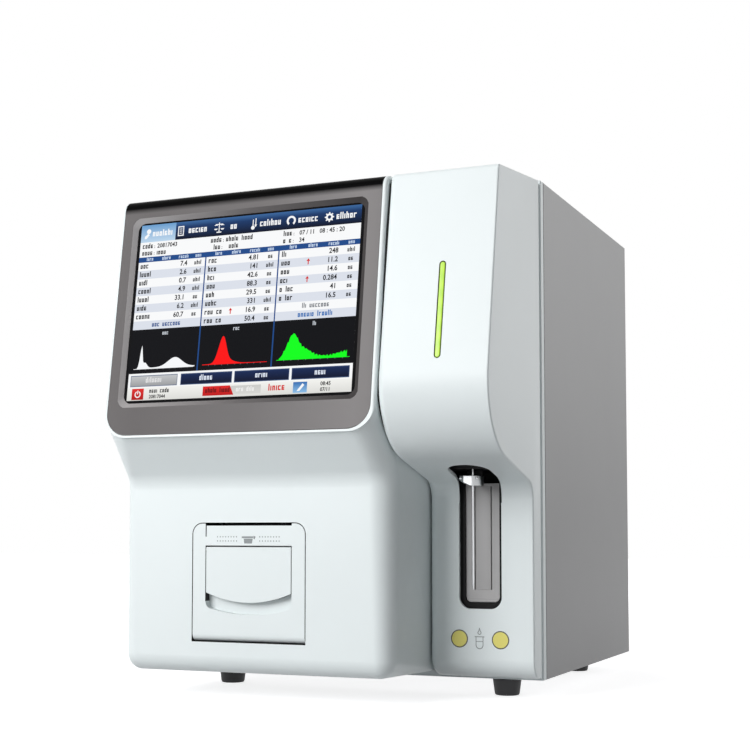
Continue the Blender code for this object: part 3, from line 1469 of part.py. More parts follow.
def make_platen():
    y = Y_BODY + PLATEN_SETBACK
    z = Z_CASE + PLATEN_HEIGHT
    half = PLATEN_WIDTH / 2
    ear_end = half + SEAT_GAP * 2 + EAR_THICKNESS
    end = ear_end + GEAR_WIDTH + SEAT_GAP * 2
    profile = [
        (0, -ear_end),
        (PLATEN_SHAFT_RADIUS, -ear_end),
        (PLATEN_SHAFT_RADIUS, -half),
        (PLATEN_RADIUS, -half),
        (PLATEN_RADIUS, half),
        (PLATEN_SHAFT_RADIUS, half),
        (PLATEN_SHAFT_RADIUS, end),
        (0, end),
    ]
    platen = turned("platen_roller", profile, "X", (X_PRINTER, y, z), finish_of(RUBBER))
    set_origin(platen, (X_PRINTER, y, z))
    outline = []
    for tooth in range(GEAR_TEETH):
        for share, radius in (
            (0, GEAR_ROOT_RADIUS),
            (GEAR_ROOT_SHARE, GEAR_ROOT_RADIUS),
            (GEAR_TIP_SHARES[0], GEAR_RADIUS),
            (GEAR_TIP_SHARES[1], GEAR_RADIUS),
        ):
            angle = 2 * math.pi * (tooth + share) / GEAR_TEETH
            outline.append((y + radius * math.cos(angle), z + radius * math.sin(angle)))
    start = X_PRINTER + ear_end + SEAT_GAP
    gear = prism("platen_gear", outline, "X", start, start + GEAR_WIDTH, finish_of(BLACK))
    cutter = rod(
        "cutter",
        "X",
        (0, y, z),
        PLATEN_SHAFT_RADIUS + SEAT_GAP,
        start - CUT_OVERRUN,
        start + GEAR_WIDTH + CUT_OVERRUN,
    )
    cut(gear, cutter)
    set_origin(gear, (X_PRINTER, y, z))


# Rear side


def inlet_x():
    return X_RIGHT - INLET_FROM_RIGHT


def inlet_z():
    return Z_CASE + INLET_HEIGHT


def rocker_place():
    y = Y_PANEL + INLET_FLANGE_THICKNESS + SEAT_GAP - ROCKER_PIVOT_DEPTH
    return inlet_x() - ROCKER_OFFSET, y, inlet_z()


def make_inlet():
    x, z = inlet_x(), inlet_z()
    front = Y_PANEL + SEAT_GAP
    out = front + INLET_FLANGE_THICKNESS
    corners = round_box(
        (x - INLET_FLANGE_WIDTH / 2, z - INLET_FLANGE_HEIGHT / 2),
        (x + INLET_FLANGE_WIDTH / 2, z + INLET_FLANGE_HEIGHT / 2),
        SOCKET_CORNER,
    )
    inlet = prism("power_inlet", outline_of(corners, ARC_STEP * 2), "Y", front, out, finish_of(BLACK))
    low = (x - INLET_BODY_WIDTH / 2, out - INLET_BODY_DEPTH, z - INLET_BODY_HEIGHT / 2)
    fuse(inlet, helper_box(low, (x + INLET_BODY_WIDTH / 2, out - JOIN_OVERLAP, z + INLET_BODY_HEIGHT / 2)))
    socket_x = x + SOCKET_OFFSET
    half = SOCKET_WIDTH / 2
    rise = SOCKET_HEIGHT / 2
    socket = [
        (socket_x - half, z - rise, 0),
        (socket_x + half, z - rise, 0),
        (socket_x + half, z + rise, SOCKET_CORNER),
        (socket_x - half, z + rise, SOCKET_CORNER),
    ]
    cut(
        inlet, prism("cutter", outline_of(socket, ARC_STEP * 3), "Y", out - SOCKET_DEPTH, out + CUT_OVERRUN)
    )
    for across, up in (
        (-CONTACT_SPREAD, -CONTACT_DROP), (CONTACT_SPREAD, -CONTACT_DROP), (0, CONTACT_RISE)
    ):
        low = (
            socket_x + across - CONTACT_WIDTH / 2,
            out - SOCKET_DEPTH - JOIN_OVERLAP,
            z + up - CONTACT_HEIGHT / 2,
        )
        high = (low[0] + CONTACT_WIDTH, out - SOCKET_DEPTH + CONTACT_LENGTH, low[2] + CONTACT_HEIGHT)
        fuse(inlet, helper_box(low, high))
    rocker_x, rocker_y, rocker_z = rocker_place()
    half = ROCKER_WIDTH / 2 + SEAT_GAP
    rise = ROCKER_HEIGHT / 2 + ROCKER_SWING_GAP
    low = (rocker_x - half, out - ROCKER_PIT_DEPTH, rocker_z - rise)
    cut(inlet, helper_box(low, (rocker_x + half, out + CUT_OVERRUN, rocker_z + rise)))
    half = ROCKER_WIDTH / 2 + SEAT_GAP + ROCKER_PIN_LENGTH
    hole = rod(
        "cutter",
        "X",
        (rocker_x, rocker_y, rocker_z),
        ROCKER_PIN_RADIUS + SEAT_GAP,
        -half,
        half,
        sides=SMALL_SIDES,
    )
    cut(inlet, hole)


def make_rocker():
    x, y, z = rocker_place()
    rise = ROCKER_HEIGHT / 2 - SEAT_GAP
    tip = ROCKER_PIVOT_DEPTH - SEAT_GAP
    slant = rise * math.tan(ROCKER_TILT)
    outline = outline_of(
        [
            (y - ROCKER_NECK_RADIUS, z, ROCKER_NECK_RADIUS),
            (y, z - rise + SEAT_GAP * 2, 0),
            (y + tip - slant, z - rise, 0),
            (y + tip, z, 0),
            (y + tip + slant, z + rise - SEAT_GAP, 0),
            (y, z + rise - SEAT_GAP * 2, 0),
        ]
    )
    half = ROCKER_WIDTH / 2
    rocker = prism("power_switch", outline, "X", x - half, x + half, finish_of(BLACK))
    half += ROCKER_PIN_LENGTH
    fuse(rocker, rod("pin", "X", (x, y, z), ROCKER_PIN_RADIUS, -half, half, sides=SMALL_SIDES))
    set_origin(rocker, (x, y, z))


def fan_x():
    return X_RIGHT - FAN_FROM_RIGHT


def fan_z():
    return Z_TOP - FAN_TOP_DROP


def make_fan():
    x, z = fan_x(), fan_z()
    back = Y_PANEL - PANEL_THICKNESS - SEAT_GAP
    front = back - FAN_DEPTH
    half = FAN_SIZE / 2
    corners = round_box((x - half, z - half), (x + half, z + half), FAN_CORNER)
    housing = prism("fan_housing", outline_of(corners, ARC_STEP * 2), "Y", front, back, finish_of(BLACK))
    cut(housing, rod("cutter", "Y", (x, 0, z), FAN_BORE_RADIUS, front - CUT_OVERRUN, back + CUT_OVERRUN))
    strut_back = front + FAN_STRUT_DEPTH
    reach = half - FAN_STRUT_INSET
    for wide, tall in ((reach, FAN_STRUT_WIDTH / 2), (FAN_STRUT_WIDTH / 2, reach)):
        fuse(housing, helper_box((x - wide, front, z - tall), (x + wide, strut_back, z + tall)))
    fuse(housing, rod("hub", "Y", (x, 0, z), FAN_HUB_RADIUS, front, strut_back))
    fuse(
        housing,
        rod("pin", "Y", (x, 0, z), FAN_PIN_RADIUS, front, back - FAN_STRUT_DEPTH * 2, sides=SMALL_SIDES),
    )
    rotor_front = strut_back + SEAT_GAP
    rotor_back = back - FAN_STRUT_DEPTH
    bore = FAN_PIN_RADIUS + SEAT_GAP
    cap = rotor_back - FAN_STRUT_DEPTH + SEAT_GAP * 2
    profile = [
        (bore, rotor_front),
        (FAN_HUB_RADIUS, rotor_front),
        (FAN_HUB_RADIUS, rotor_back),
        (0, rotor_back),
        (0, cap),
        (bore, cap),
    ]
    rotor = turned("fan_rotor", profile, "Y", (x, 0, z), finish_of(BLACK))
    middle = (rotor_front + rotor_back) / 2
    inner = FAN_HUB_RADIUS - FAN_BLADE_THICKNESS
    outer = FAN_BORE_RADIUS - FAN_TIP_GAP
    length = FAN_BLADE_CHORD
    for index in range(FAN_BLADES):
        blade = box(
            "blade",
            (-length / 2, -FAN_BLADE_THICKNESS / 2, inner),
            (length / 2, FAN_BLADE_THICKNESS / 2, outer - FAN_TIP_GAP),
        )
        lean = Matrix.Rotation(FAN_BLADE_TILT, 4, "Z")
        around = Matrix.Rotation(2 * math.pi * index / FAN_BLADES, 4, "Y")
        blade.data.transform(Matrix.Translation((x, middle, z)) @ around @ lean)
        fuse(rotor, blade)
    common(rotor, rod("trim", "Y", (x, 0, z), outer, rotor_front, rotor_back))
    set_origin(rotor, (x, middle, z))


def make_fan_guard():
    x, z = fan_x(), fan_z()
    front = Y_PANEL + SEAT_GAP
    back = front + GUARD_THICKNESS
    guard = None
    for index in range(GUARD_RINGS):
        outer = FAN_BORE_RADIUS * (index + 1) / GUARD_RINGS + GUARD_RING_WIDTH / 2
        inner = outer - GUARD_RING_WIDTH
        ring = turned(
            "fan_guard" if guard is None else "ring",
            ring_profile(inner, outer, front, back),
            "Y",
            (x, 0, z),
        )
        if guard is None:
            guard = ring
            guard.data.materials.append(finish_of(STEEL))
        else:
            fuse(guard, ring)
    reach = FAN_BORE_RADIUS + GUARD_BAR_WIDTH
    half = GUARD_BAR_WIDTH / 2
    for turn in (-1, 1):
        bar = helper_box((-reach, front, -half), (reach, back, half))
        bar.data.transform(Matrix.Translation((x, 0, z)) @ Matrix.Rotation(turn * math.pi / 4, 4, "Y"))
        fuse(guard, bar)


def ring_profile(inner, outer, start, end):
    return [(inner, start), (outer, start), (outer, end), (inner, end)]


def port_places():
    return [X_RIGHT - PORT_FROM_RIGHT - PORT_SPACING * index for index in range(len(PORT_NAMES))]


def make_ports():
    flange = Y_PANEL + SEAT_GAP
    neck_end = flange + PORT_FLANGE_THICKNESS
    end = flange + PORT_LENGTH
    tail = Y_PANEL - PANEL_THICKNESS - PORT_TAIL
    barb = (end - neck_end) / 2
    for name, x in zip(PORT_NAMES, port_places()):
        profile = [
            (0, tail),
            (PORT_NIPPLE_RADIUS, tail),
            (PORT_NIPPLE_RADIUS, Y_PANEL - PANEL_THICKNESS),
            (PORT_NECK_RADIUS, Y_PANEL - PANEL_THICKNESS),
            (PORT_NECK_RADIUS, flange),
            (PORT_FLANGE_RADIUS, flange),
            (PORT_FLANGE_RADIUS, neck_end),
            (PORT_NIPPLE_RADIUS, neck_end),
            (PORT_NIPPLE_RADIUS, neck_end + barb),
            (PORT_BARB_RADIUS, neck_end + barb),
            (PORT_NIPPLE_RADIUS, end),
            (PORT_BORE_RADIUS, end),
            (PORT_BORE_RADIUS, end - PORT_BORE_DEPTH),
            (0, end - PORT_BORE_DEPTH),
        ]
        turned(name, profile, "Y", (x, 0, Z_CASE + PORT_HEIGHT), finish_of(WHITE), SMALL_SIDES)


def make_data_ports():
    x = X_RIGHT - DATA_FROM_RIGHT
    z = Z_CASE + DATA_HEIGHT
    back = Y_PANEL
    low = (x - DATA_WIDTH / 2, back - DATA_BODY_DEPTH, z - DATA_BODY_HEIGHT / 2)
    block = box("data_ports", low, (x + DATA_WIDTH / 2, back, z + DATA_BODY_HEIGHT / 2), finish_of(BLACK))
    holes = (
        (-DATA_HOLE_PITCH, NET_WIDTH, NET_HEIGHT),
        (0, USB_WIDTH, USB_HEIGHT),
        (DATA_HOLE_PITCH, USB_WIDTH, USB_HEIGHT),
    )
    for across, wide, tall in holes:
        low = (x + across - wide / 2, back - DATA_HOLE_DEPTH, z - tall / 2)
        cut(block, helper_box(low, (x + across + wide / 2, back + CUT_OVERRUN, z + tall / 2)))


# Inside


def make_supply():
    wide, deep, tall = SUPPLY_SIZE
    x = X_RIGHT - SUPPLY_FROM_RIGHT
    front = Y_BULKHEAD + PANEL_THICKNESS + SUPPLY_EDGE
    case_box(
        "power_supply",
        x - wide / 2,
        x + wide / 2,
        front,
        front + deep,
        Z_FLOOR,
        Z_FLOOR + tall,
        STEEL,
        SUPPLY_EDGE,
    )


def make_board():
    x = X_RIGHT - BOARD_FROM_RIGHT
    front = Y_BULKHEAD + PANEL_THICKNESS + STANDOFF_LENGTH + SEAT_GAP
    back = front + BOARD_THICKNESS
    low = Z_CASE + BOARD_BOTTOM
    board = case_box(
        "control_board",
        x - BOARD_WIDTH / 2,
        x + BOARD_WIDTH / 2,
        front,
        back,
        low,
        low + BOARD_HEIGHT,
        BOARD_GREEN,
    )
    middle = low + BOARD_HEIGHT / 2
    for across in (-BOARD_WIDTH / 4, BOARD_WIDTH / 4):
        chip_low = (x + across - CHIP_SIZE / 2, back - JOIN_OVERLAP, middle - CHIP_SIZE / 2)
        fuse(
            board,
            helper_box(chip_low, (x + across + CHIP_SIZE / 2, back + CHIP_HEIGHT, middle + CHIP_SIZE / 2)),
        )


def make_syringe():
    x = X_RIGHT - SYRINGE_FROM_RIGHT
    rear = Y_BULKHEAD - SEAT_GAP
    y = rear - SYRINGE_REACH
    low = Z_CASE + SYRINGE_BLOCK_BOTTOM
    high = Z_CASE + SYRINGE_BLOCK_TOP
    half = SYRINGE_BLOCK_WIDTH / 2
    block = case_box(
        "syringe_block", x - half, x + half, rear - SYRINGE_BLOCK_BACK, rear, low, high, ALUMINIUM
    )
    nose = y - half
    fuse(block, helper_box((x - half, nose, low), (x + half, rear - JOIN_OVERLAP, low + SYRINGE_JAW)))
    fuse(block, helper_box((x - half, nose, high - SYRINGE_JAW), (x + half, rear - JOIN_OVERLAP, high)))
    hole = PLUNGER_RADIUS + PLUNGER_GAP
    cut(
        block,
        rod(
            "cutter",
            "Z",
            (x, y, 0),
            hole,
            low - CUT_OVERRUN,
            low + SYRINGE_JAW + CUT_OVERRUN,
            sides=SMALL_SIDES,
        ),
    )
    motor_top = low - SEAT_GAP
    motor_low = motor_top - SYRINGE_MOTOR_HEIGHT
    size = SYRINGE_MOTOR_SIZE / 2
    motor = case_box(
        "syringe_motor", x - size, x + size, y - size, y + size, motor_low, motor_top, BLACK, SUPPLY_EDGE
    )
    cut(
        motor,
        rod(
            "cutter",
            "Z",
            (x, y, 0),
            hole,
            motor_low - CUT_OVERRUN,
            motor_top + CUT_OVERRUN,
            sides=SMALL_SIDES,
        ),
    )
    barrel_top = high - SYRINGE_JAW - SEAT_GAP
    barrel_low = barrel_top - BARREL_LENGTH
    crown = PISTON_LENGTH / 2
    profile = [
        (BARREL_BORE, barrel_low),
        (BARREL_RADIUS, barrel_low),
        (BARREL_RADIUS, barrel_top),
        (0, barrel_top),
        (0, barrel_top - crown),
        (BARREL_BORE, barrel_top - crown),
    ]
    turned("syringe_barrel", profile, "Z", (x, y, 0), finish_of(CLEAR))
    piston_top = barrel_top - crown - PLUNGER_TOP_DROP
    profile = [
        (0, Z_CASE + PLUNGER_BOTTOM),
        (PLUNGER_RADIUS, Z_CASE + PLUNGER_BOTTOM),
        (PLUNGER_RADIUS, piston_top - PISTON_LENGTH),
        (PISTON_RADIUS, piston_top - PISTON_LENGTH),
        (PISTON_RADIUS, piston_top),
        (0, piston_top),
    ]
    plunger = turned("syringe_plunger", profile, "Z", (x, y, 0), finish_of(BRIGHT))
    set_origin(plunger, (x, y, piston_top))


def make_fluidics():
    rear = Y_BULKHEAD - SEAT_GAP
    x = X_RIGHT - BATH_FROM_RIGHT
    wide, deep, tall = BATH_SIZE
    low = Z_CASE + BATH_BOTTOM
    bath = case_box("measuring_bath", x - wide / 2, x + wide / 2, rear - deep, rear, low, low + tall, CLEAR)
    for across in (-wide / 4, wide / 4):
        centre = (x + across, rear - deep / 2, 0)
        cut(
            bath,
            rod(
                "cutter",
                "Z",
                centre,
                BATH_WELL_RADIUS,
                low + tall - BATH_WELL_DEPTH,
                low + tall + CUT_OVERRUN,
            ),
        )
    x = X_RIGHT - VALVE_FROM_RIGHT
    wide, deep, tall = VALVE_SIZE
    low = Z_CASE + VALVE_BOTTOM
    valves = case_box("valve_block", x - wide / 2, x + wide / 2, rear - deep, rear, low, low + tall, CLEAR)
    for index in range(VALVE_COUNT):
        place = x - wide / 2 + wide * (index + 0.5) / VALVE_COUNT
        start = rear - deep - VALVE_LENGTH
        coil = rod(
            "coil",
            "Y",
            (place, 0, low + tall / 2),
            VALVE_RADIUS,
            start,
            rear - deep + JOIN_OVERLAP,
            sides=SMALL_SIDES,
        )
        fuse(valves, coil)
    x = X_RIGHT - PUMP_FROM_RIGHT
    y = Y_SEAM + PUMP_SETBACK
    pump = rod(
        "waste_pump",
        "X",
        (x, y, Z_FLOOR + PUMP_HEIGHT),
        PUMP_RADIUS,
        -PUMP_LENGTH / 2,
        PUMP_LENGTH / 2,
        finish_of(STEEL),
    )
    half = PUMP_FOOT_WIDTH / 2
    fuse(
        pump,
        helper_box(
            (x - half, y - half, Z_FLOOR), (x + half, y + half, Z_FLOOR + PUMP_HEIGHT - PUMP_RADIUS / 2)
        ),
    )


# Feet


def make_feet():
    top = FOOT_HEIGHT - SEAT_GAP
    profile = [
        (0, 0),
        (FOOT_BOTTOM_RADIUS - FOOT_ROUND, 0),
        (FOOT_BOTTOM_RADIUS, FOOT_ROUND),
        (FOOT_TOP_RADIUS, top),
        (0, top),
    ]
    for side, x in (("left", X_LEFT + FOOT_FROM_SIDE), ("right", X_RIGHT - FOOT_FROM_SIDE)):
        for end, y in (("front", Y_SEAM + FOOT_FRONT), ("rear", Y_SEAM + FOOT_BACK)):
            turned("foot_" + end + "_" + side, profile, "Z", (x, y, 0), finish_of(RUBBER))


for old in list(bpy.data.objects):
    bpy.data.objects.remove(old)
make_front_frame()
make_panels()
make_rear_panel()
make_bulkhead()
make_tower_cover()
make_main_cover()
make_screen()
make_light_bar()
make_slot()
make_probe_frame()
make_probe_drive()
make_carriage()
make_needle()
make_wipe_block()
make_printer_door()
make_flap()
make_printer_frame()
make_paper()
make_platen()
make_inlet()
make_rocker()
make_fan()
make_fan_guard()
make_ports()
make_data_ports()
make_supply()
make_board()
make_syringe()
make_fluidics()
make_feet()
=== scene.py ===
"""Looks of a bench blood analyzer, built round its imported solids: the mouldings, the lit screen, the sampling
slot with its needle, the receipt printer, the painted case and everything on its back."""

import json
import math

import bmesh
import bpy
from mathutils import Matrix, Vector

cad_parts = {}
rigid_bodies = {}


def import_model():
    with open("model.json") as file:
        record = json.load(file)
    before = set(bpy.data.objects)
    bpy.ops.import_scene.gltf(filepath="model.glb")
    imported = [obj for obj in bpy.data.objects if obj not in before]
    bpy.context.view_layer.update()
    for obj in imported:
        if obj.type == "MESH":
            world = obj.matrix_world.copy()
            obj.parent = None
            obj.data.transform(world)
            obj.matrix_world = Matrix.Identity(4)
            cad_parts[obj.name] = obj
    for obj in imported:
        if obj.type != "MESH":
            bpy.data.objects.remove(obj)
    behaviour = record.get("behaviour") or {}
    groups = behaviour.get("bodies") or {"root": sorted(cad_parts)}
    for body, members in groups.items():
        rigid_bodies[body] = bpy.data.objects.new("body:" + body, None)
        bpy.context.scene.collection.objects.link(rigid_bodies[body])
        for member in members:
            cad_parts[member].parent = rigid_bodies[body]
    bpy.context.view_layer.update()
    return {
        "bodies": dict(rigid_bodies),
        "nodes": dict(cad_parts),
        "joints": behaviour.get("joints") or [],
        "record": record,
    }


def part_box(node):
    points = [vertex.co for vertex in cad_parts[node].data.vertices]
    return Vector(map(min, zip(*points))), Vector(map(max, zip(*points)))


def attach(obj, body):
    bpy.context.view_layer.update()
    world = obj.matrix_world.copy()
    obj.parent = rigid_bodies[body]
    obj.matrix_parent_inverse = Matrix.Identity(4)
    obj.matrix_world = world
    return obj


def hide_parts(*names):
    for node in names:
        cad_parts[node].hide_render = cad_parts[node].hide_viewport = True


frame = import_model()


# Camera
# The view of the photograph: from the right front, a little over bench height, looking slightly up.

camera_data = bpy.data.cameras.new("bench_camera")
camera_data.lens = 67.68
camera_data.sensor_width = 36
camera_data.shift_x = -0.00225
camera_data.shift_y = 0.09
camera = bpy.data.objects.new("bench_camera", camera_data)
camera.location = (0.512, -1.24685, 0.141)
camera.rotation_euler = (math.radians(93.6098), 0, math.radians(22.9973))
bpy.context.scene.collection.objects.link(camera)
bpy.context.scene.camera = camera
bpy.context.scene.view_settings.view_transform = "Standard"


# Floor and light
# A pale sheet that runs to the horizon, lit by big soft boxes. The world and the sheet look white to the
# camera and in reflections, while the object itself gets a plain even light.


def feed(node, *sources, **values):
    """Gives a node its inputs and settings: sources go to its inputs in order, values to what has that name."""
    pairs = list(enumerate(sources))
    for label, value in values.items():
        if hasattr(node, label):
            setattr(node, label, value)
        else:
            pairs.append((label.replace("_", " "), value))
    for key, value in pairs:
        if isinstance(value, bpy.types.Node):
            value = value.outputs[0]
        if isinstance(value, bpy.types.NodeSocket):
            node.id_data.links.new(value, node.inputs[key])
        elif value is not None:
            node.inputs[key].default_value = value
    return node


def add(tree, kind, *sources, **values):
    return feed(tree.nodes.new(kind), *sources, **values)


def ranged(tree, value, low=0.0, high=1.0, start=0.0, stop=1.0):
    """A value brought from the range start to stop into the range low to high."""
    return add(tree, "ShaderNodeMapRange", value, start, stop, low, high)


def seen_directly(tree):
    """1 for what the camera sees directly, in a mirror or through glass, and 0 for light that falls on things."""
    path = add(tree, "ShaderNodeLightPath")
    seen = path.outputs["Is Camera Ray"]
    for kind in ("Is Glossy Ray", "Is Transmission Ray"):
        seen = add(tree, "ShaderNodeMath", seen, path.outputs[kind], operation="MAXIMUM")
    return seen


def placed(name, data):
    made = bpy.data.objects.new(name, data)
    bpy.context.scene.collection.objects.link(made)
    return made


def soft_box(name, size, power, place, aim):
    light = bpy.data.lights.new(name, "AREA")
    light.shape = "RECTANGLE"
    light.size, light.size_y = size
    light.energy = power
    made = placed(name, light)
    made.location = place
    made.rotation_euler = (Vector(aim) - Vector(place)).to_track_quat("-Z", "Y").to_euler()


world = bpy.data.worlds.new("studio")
world.use_nodes = True
bpy.context.scene.world = world
sky = world.node_tree
ambient = feed(sky.nodes["Background"], (0.96, 0.98, 1.0, 1.0), 0.12)
white_sky = add(sky, "ShaderNodeBackground", (1.0, 1.0, 1.0, 1.0), 1.0)
feed(sky.nodes["World Output"], add(sky, "ShaderNodeMixShader", seen_directly(sky), ambient, white_sky))

soft_box("front_soft_box", (1.6, 1.3), 54, (-1.2, -2.47, 1.15), (0, -0.1, 0.25))
soft_box("high_soft_box", (1.6, 1.2), 12.5, (-0.9, -1.7, 2.1), (0, -0.1, 0.25))
soft_box("right_soft_box", (1.2, 1.4), 16, (1.5, 1.6, 1.0), (0.1, 0, 0.2))
soft_box("rear_soft_box", (1.4, 1.4), 13, (-1.3, 2.0, 1.1), (0, 0, 0.2))
soft_box("top_soft_box", (1.4, 1.4), 3, (0, 0.1, 1.9), (0, 0, 0.3))

floor_mesh = bpy.data.meshes.new("floor")
reach = 6.0
corners = [(-reach, -reach, 0), (reach, -reach, 0), (reach, reach, 0), (-reach, reach, 0)]
floor_mesh.from_pydata(corners, [], [(0, 1, 2, 3)])
floor = placed("floor", floor_mesh)
floor_paint = bpy.data.materials.new("pale_floor")
floor_paint.use_nodes = True
tree = floor_paint.node_tree
sheet = feed(tree.nodes["Principled BSDF"], Base_Color=(0.5, 0.5, 0.51, 1), Roughness=0.9)
place = add(tree, "ShaderNodeTexCoord").outputs["Object"]
away = add(tree, "ShaderNodeVectorMath", place, operation="LENGTH").outputs["Value"]
glow = add(tree, "ShaderNodeEmission", Strength=ranged(tree, away, 0.78, 1.0, 0.55, 1.7))
lit_sheet = add(tree, "ShaderNodeAddShader", sheet, glow)
feed(tree.nodes["Material Output"], add(tree, "ShaderNodeMixShader", seen_directly(tree), sheet, lit_sheet))
floor.data.materials.append(floor_paint)


# Front moulding of the screen side
# One injection moulding of white acrylonitrile plastic: the lip round the screen bezel, the chin that
# draws back under it, and the lower body with the printer's opening. It clips onto the case frame.

MM = 0.001
merge_distance = 0.004 * MM
overshoot = 6 * MM
case_right = 172.75 * MM
case_left = -case_right
seam = -77.25 * MM
cover_rear = seam - 15 * MM
case_bottom = 15 * MM
case_top = 444 * MM
cover_top = case_top - 2 * MM
tower_left = case_right - 92.6 * MM
head_right = tower_left - 1.6 * MM
body_front = seam - 120.2 * MM
cover_wall = 3 * MM
seat_gap = 0.3 * MM
top_slope = 0.102
head_slope = 0.14
head_tilt = math.atan(head_slope)
rim_front = seam - 155.5 * MM
rim_low = case_bottom + 205.2 * MM
head_top_radius = 12 * MM
rim_rise = 3 * MM
rim_corner = 22 * MM
bezel_left = case_left + 2.7 * MM
bezel_right = head_right - 3.8 * MM
bezel_low = 2.1 * MM
bezel_thickness = 3 * MM
bezel_return = 22 * MM
printer_middle = case_left + (head_right - case_left) * 0.486
door_half = 105.8 * MM / 2
door_low = case_bottom + 33.6 * MM
door_high = case_bottom + 132.7 * MM


def mesh_object(name, mesh, finish):
    made = placed(name, mesh)
    if finish:
        mesh.materials.append(finish)
    return made


def fitted(made, body_name, node=None):
    """Puts a piece on the body it rides on, and hides the node that it stands for."""
    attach(made, body_name)
    if node:
        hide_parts(node)
    return made


def mm(*points):
    """Points given in millimetres."""
    return [tuple(part * MM for part in point) for point in points]


def merged(work):
    """Merges doubles and drops faces and edges without a size."""
    bmesh.ops.remove_doubles(work, verts=work.verts, dist=merge_distance)
    bmesh.ops.dissolve_degenerate(work, dist=merge_distance, edges=work.edges)


def mesh_from(work, name):
    """A mesh from an edit mesh, with doubles merged and all faces pointing out."""
    merged(work)
    bmesh.ops.recalc_face_normals(work, faces=work.faces)
    mesh = bpy.data.meshes.new(name)
    work.to_mesh(mesh)
    work.free()
    return mesh


def loft(name, rings, finish=None, closed=False):
    """A solid through rings of points, with an end face on the first and last, or joined up if closed."""
    work = bmesh.new()
    rows = [[work.verts.new(place) for place in ring] for ring in rings]
    if closed:
        rows.append(rows[0])
    else:
        work.faces.new(rows[0])
        work.faces.new(rows[-1])
    for first, second in zip(rows, rows[1:]):
        for index in range(len(first)):
            after = (index + 1) % len(first)
            work.faces.new((first[index], first[after], second[after], second[index]))
    return mesh_object(name, mesh_from(work, name), finish)


def at(axis, across, up, along):
    """A point whose outline lies square to an axis."""
    return {"X": (along, across, up), "Y": (across, along, up), "Z": (across, up, along)}[axis]


def extruded(name, outline, axis, start, end, finish=None):
    return loft(name, [[at(axis, *point, along) for point in outline] for along in (start, end)], finish)


def box_outline(left, low, right, high):
    return [(left, low), (right, low), (right, high), (left, high)]


def block(name, low, high):
    return extruded(name, box_outline(*low[:2], *high[:2]), "Z", low[2], high[2])


def bevel_solid(name, low, high, edge, finish):
    """A block with all of its edges rounded."""
    work = bmesh.new()
    bmesh.ops.create_cube(work, size=1)
    bmesh.ops.scale(work, vec=Vector(high) - Vector(low), verts=work.verts)
    bmesh.ops.translate(work, vec=(Vector(high) + Vector(low)) / 2, verts=work.verts)
    bmesh.ops.bevel(work, geom=work.edges, offset=edge, segments=3, profile=0.5, affect="EDGES")
    return smooth(mesh_object(name, mesh_from(work, name), finish), 40)


def turned(name, profile, axis, centre, finish=None, sides=48, closed=False):
    """A profile of (radius, distance along the axis) turned about an axis through centre."""
    work = bmesh.new()
    rings = []
    for radius, along in profile:
        if radius == 0:
            rings.append([work.verts.new(Vector(centre) + Vector(at(axis, 0, 0, along)))] * sides)
            continue
        ring = []
        for step in range(sides):
            angle = math.tau * step / sides
            place = at(axis, radius * math.cos(angle), radius * math.sin(angle), along)
            ring.append(work.verts.new(Vector(centre) + Vector(place)))
        rings.append(ring)
    if closed:
        rings.append(rings[0])
    for first, second in zip(rings, rings[1:]):
        for step in range(sides):
            after = (step + 1) % sides
            corners = list(dict.fromkeys((first[step], first[after], second[after], second[step])))
            if len(corners) > 2:
                work.faces.new(corners)
    return smooth(mesh_object(name, mesh_from(work, name), finish), 35)


def smooth(made, angle):
    made.data.shade_smooth()
    made.data.set_sharp_from_angle(angle=math.radians(angle))
    return made


def settle(made):
    """Turns what the modifiers make into the object's own plain mesh."""
    shown = made.evaluated_get(bpy.context.evaluated_depsgraph_get())
    mesh = bpy.data.meshes.new_from_object(shown)
    helpers = [step.object for step in made.modifiers if step.type == "BOOLEAN"]
    made.modifiers.clear()
    made.data = mesh
    for helper in helpers:
        bpy.data.objects.remove(helper)
    return made


def modified(made, kind, **settings):
    """Adds a modifier with its settings."""
    step = made.modifiers.new(kind, kind)
    for label, value in settings.items():
        setattr(step, label, value)
    return made


def boolean(made, other, operation):
    other.hide_render = True
    return modified(made, "BOOLEAN", operation=operation, solver="EXACT", use_self=True, object=other)


def cut(made, other):
    return boolean(made, other, "DIFFERENCE")


def fuse(made, other):
    return boolean(made, other, "UNION")


def common(made, other):
    return boolean(made, other, "INTERSECT")


def edge_rounded(made, width, segments=3, angle=32):
    """Merges the flat faces that Booleans split, then rounds the sharp edges and evens the shading."""
    settle(made)
    work = bmesh.new()
    work.from_mesh(made.data)
    merged(work)
    bmesh.ops.dissolve_limit(work, angle_limit=math.radians(0.4), verts=work.verts, edges=work.edges)
    work.to_mesh(made.data)
    work.free()
    smooth(made, angle)
    limits = {"limit_method": "ANGLE", "angle_limit": math.radians(angle), "use_clamp_overlap": True}
    modified(made, "BEVEL", width=width, segments=segments, harden_normals=True, **limits)
    return settle(modified(made, "WEIGHTED_NORMAL", keep_sharp=True, weight=50))


def turning(corners):
    """A polygon's places, and 1 if they run anticlockwise or else -1."""
    places = [Vector(corner[:2]) for corner in corners]
    area = sum(place.cross(places[index - len(places) + 1]) for index, place in enumerate(places))
    return places, 1 if area > 0 else -1


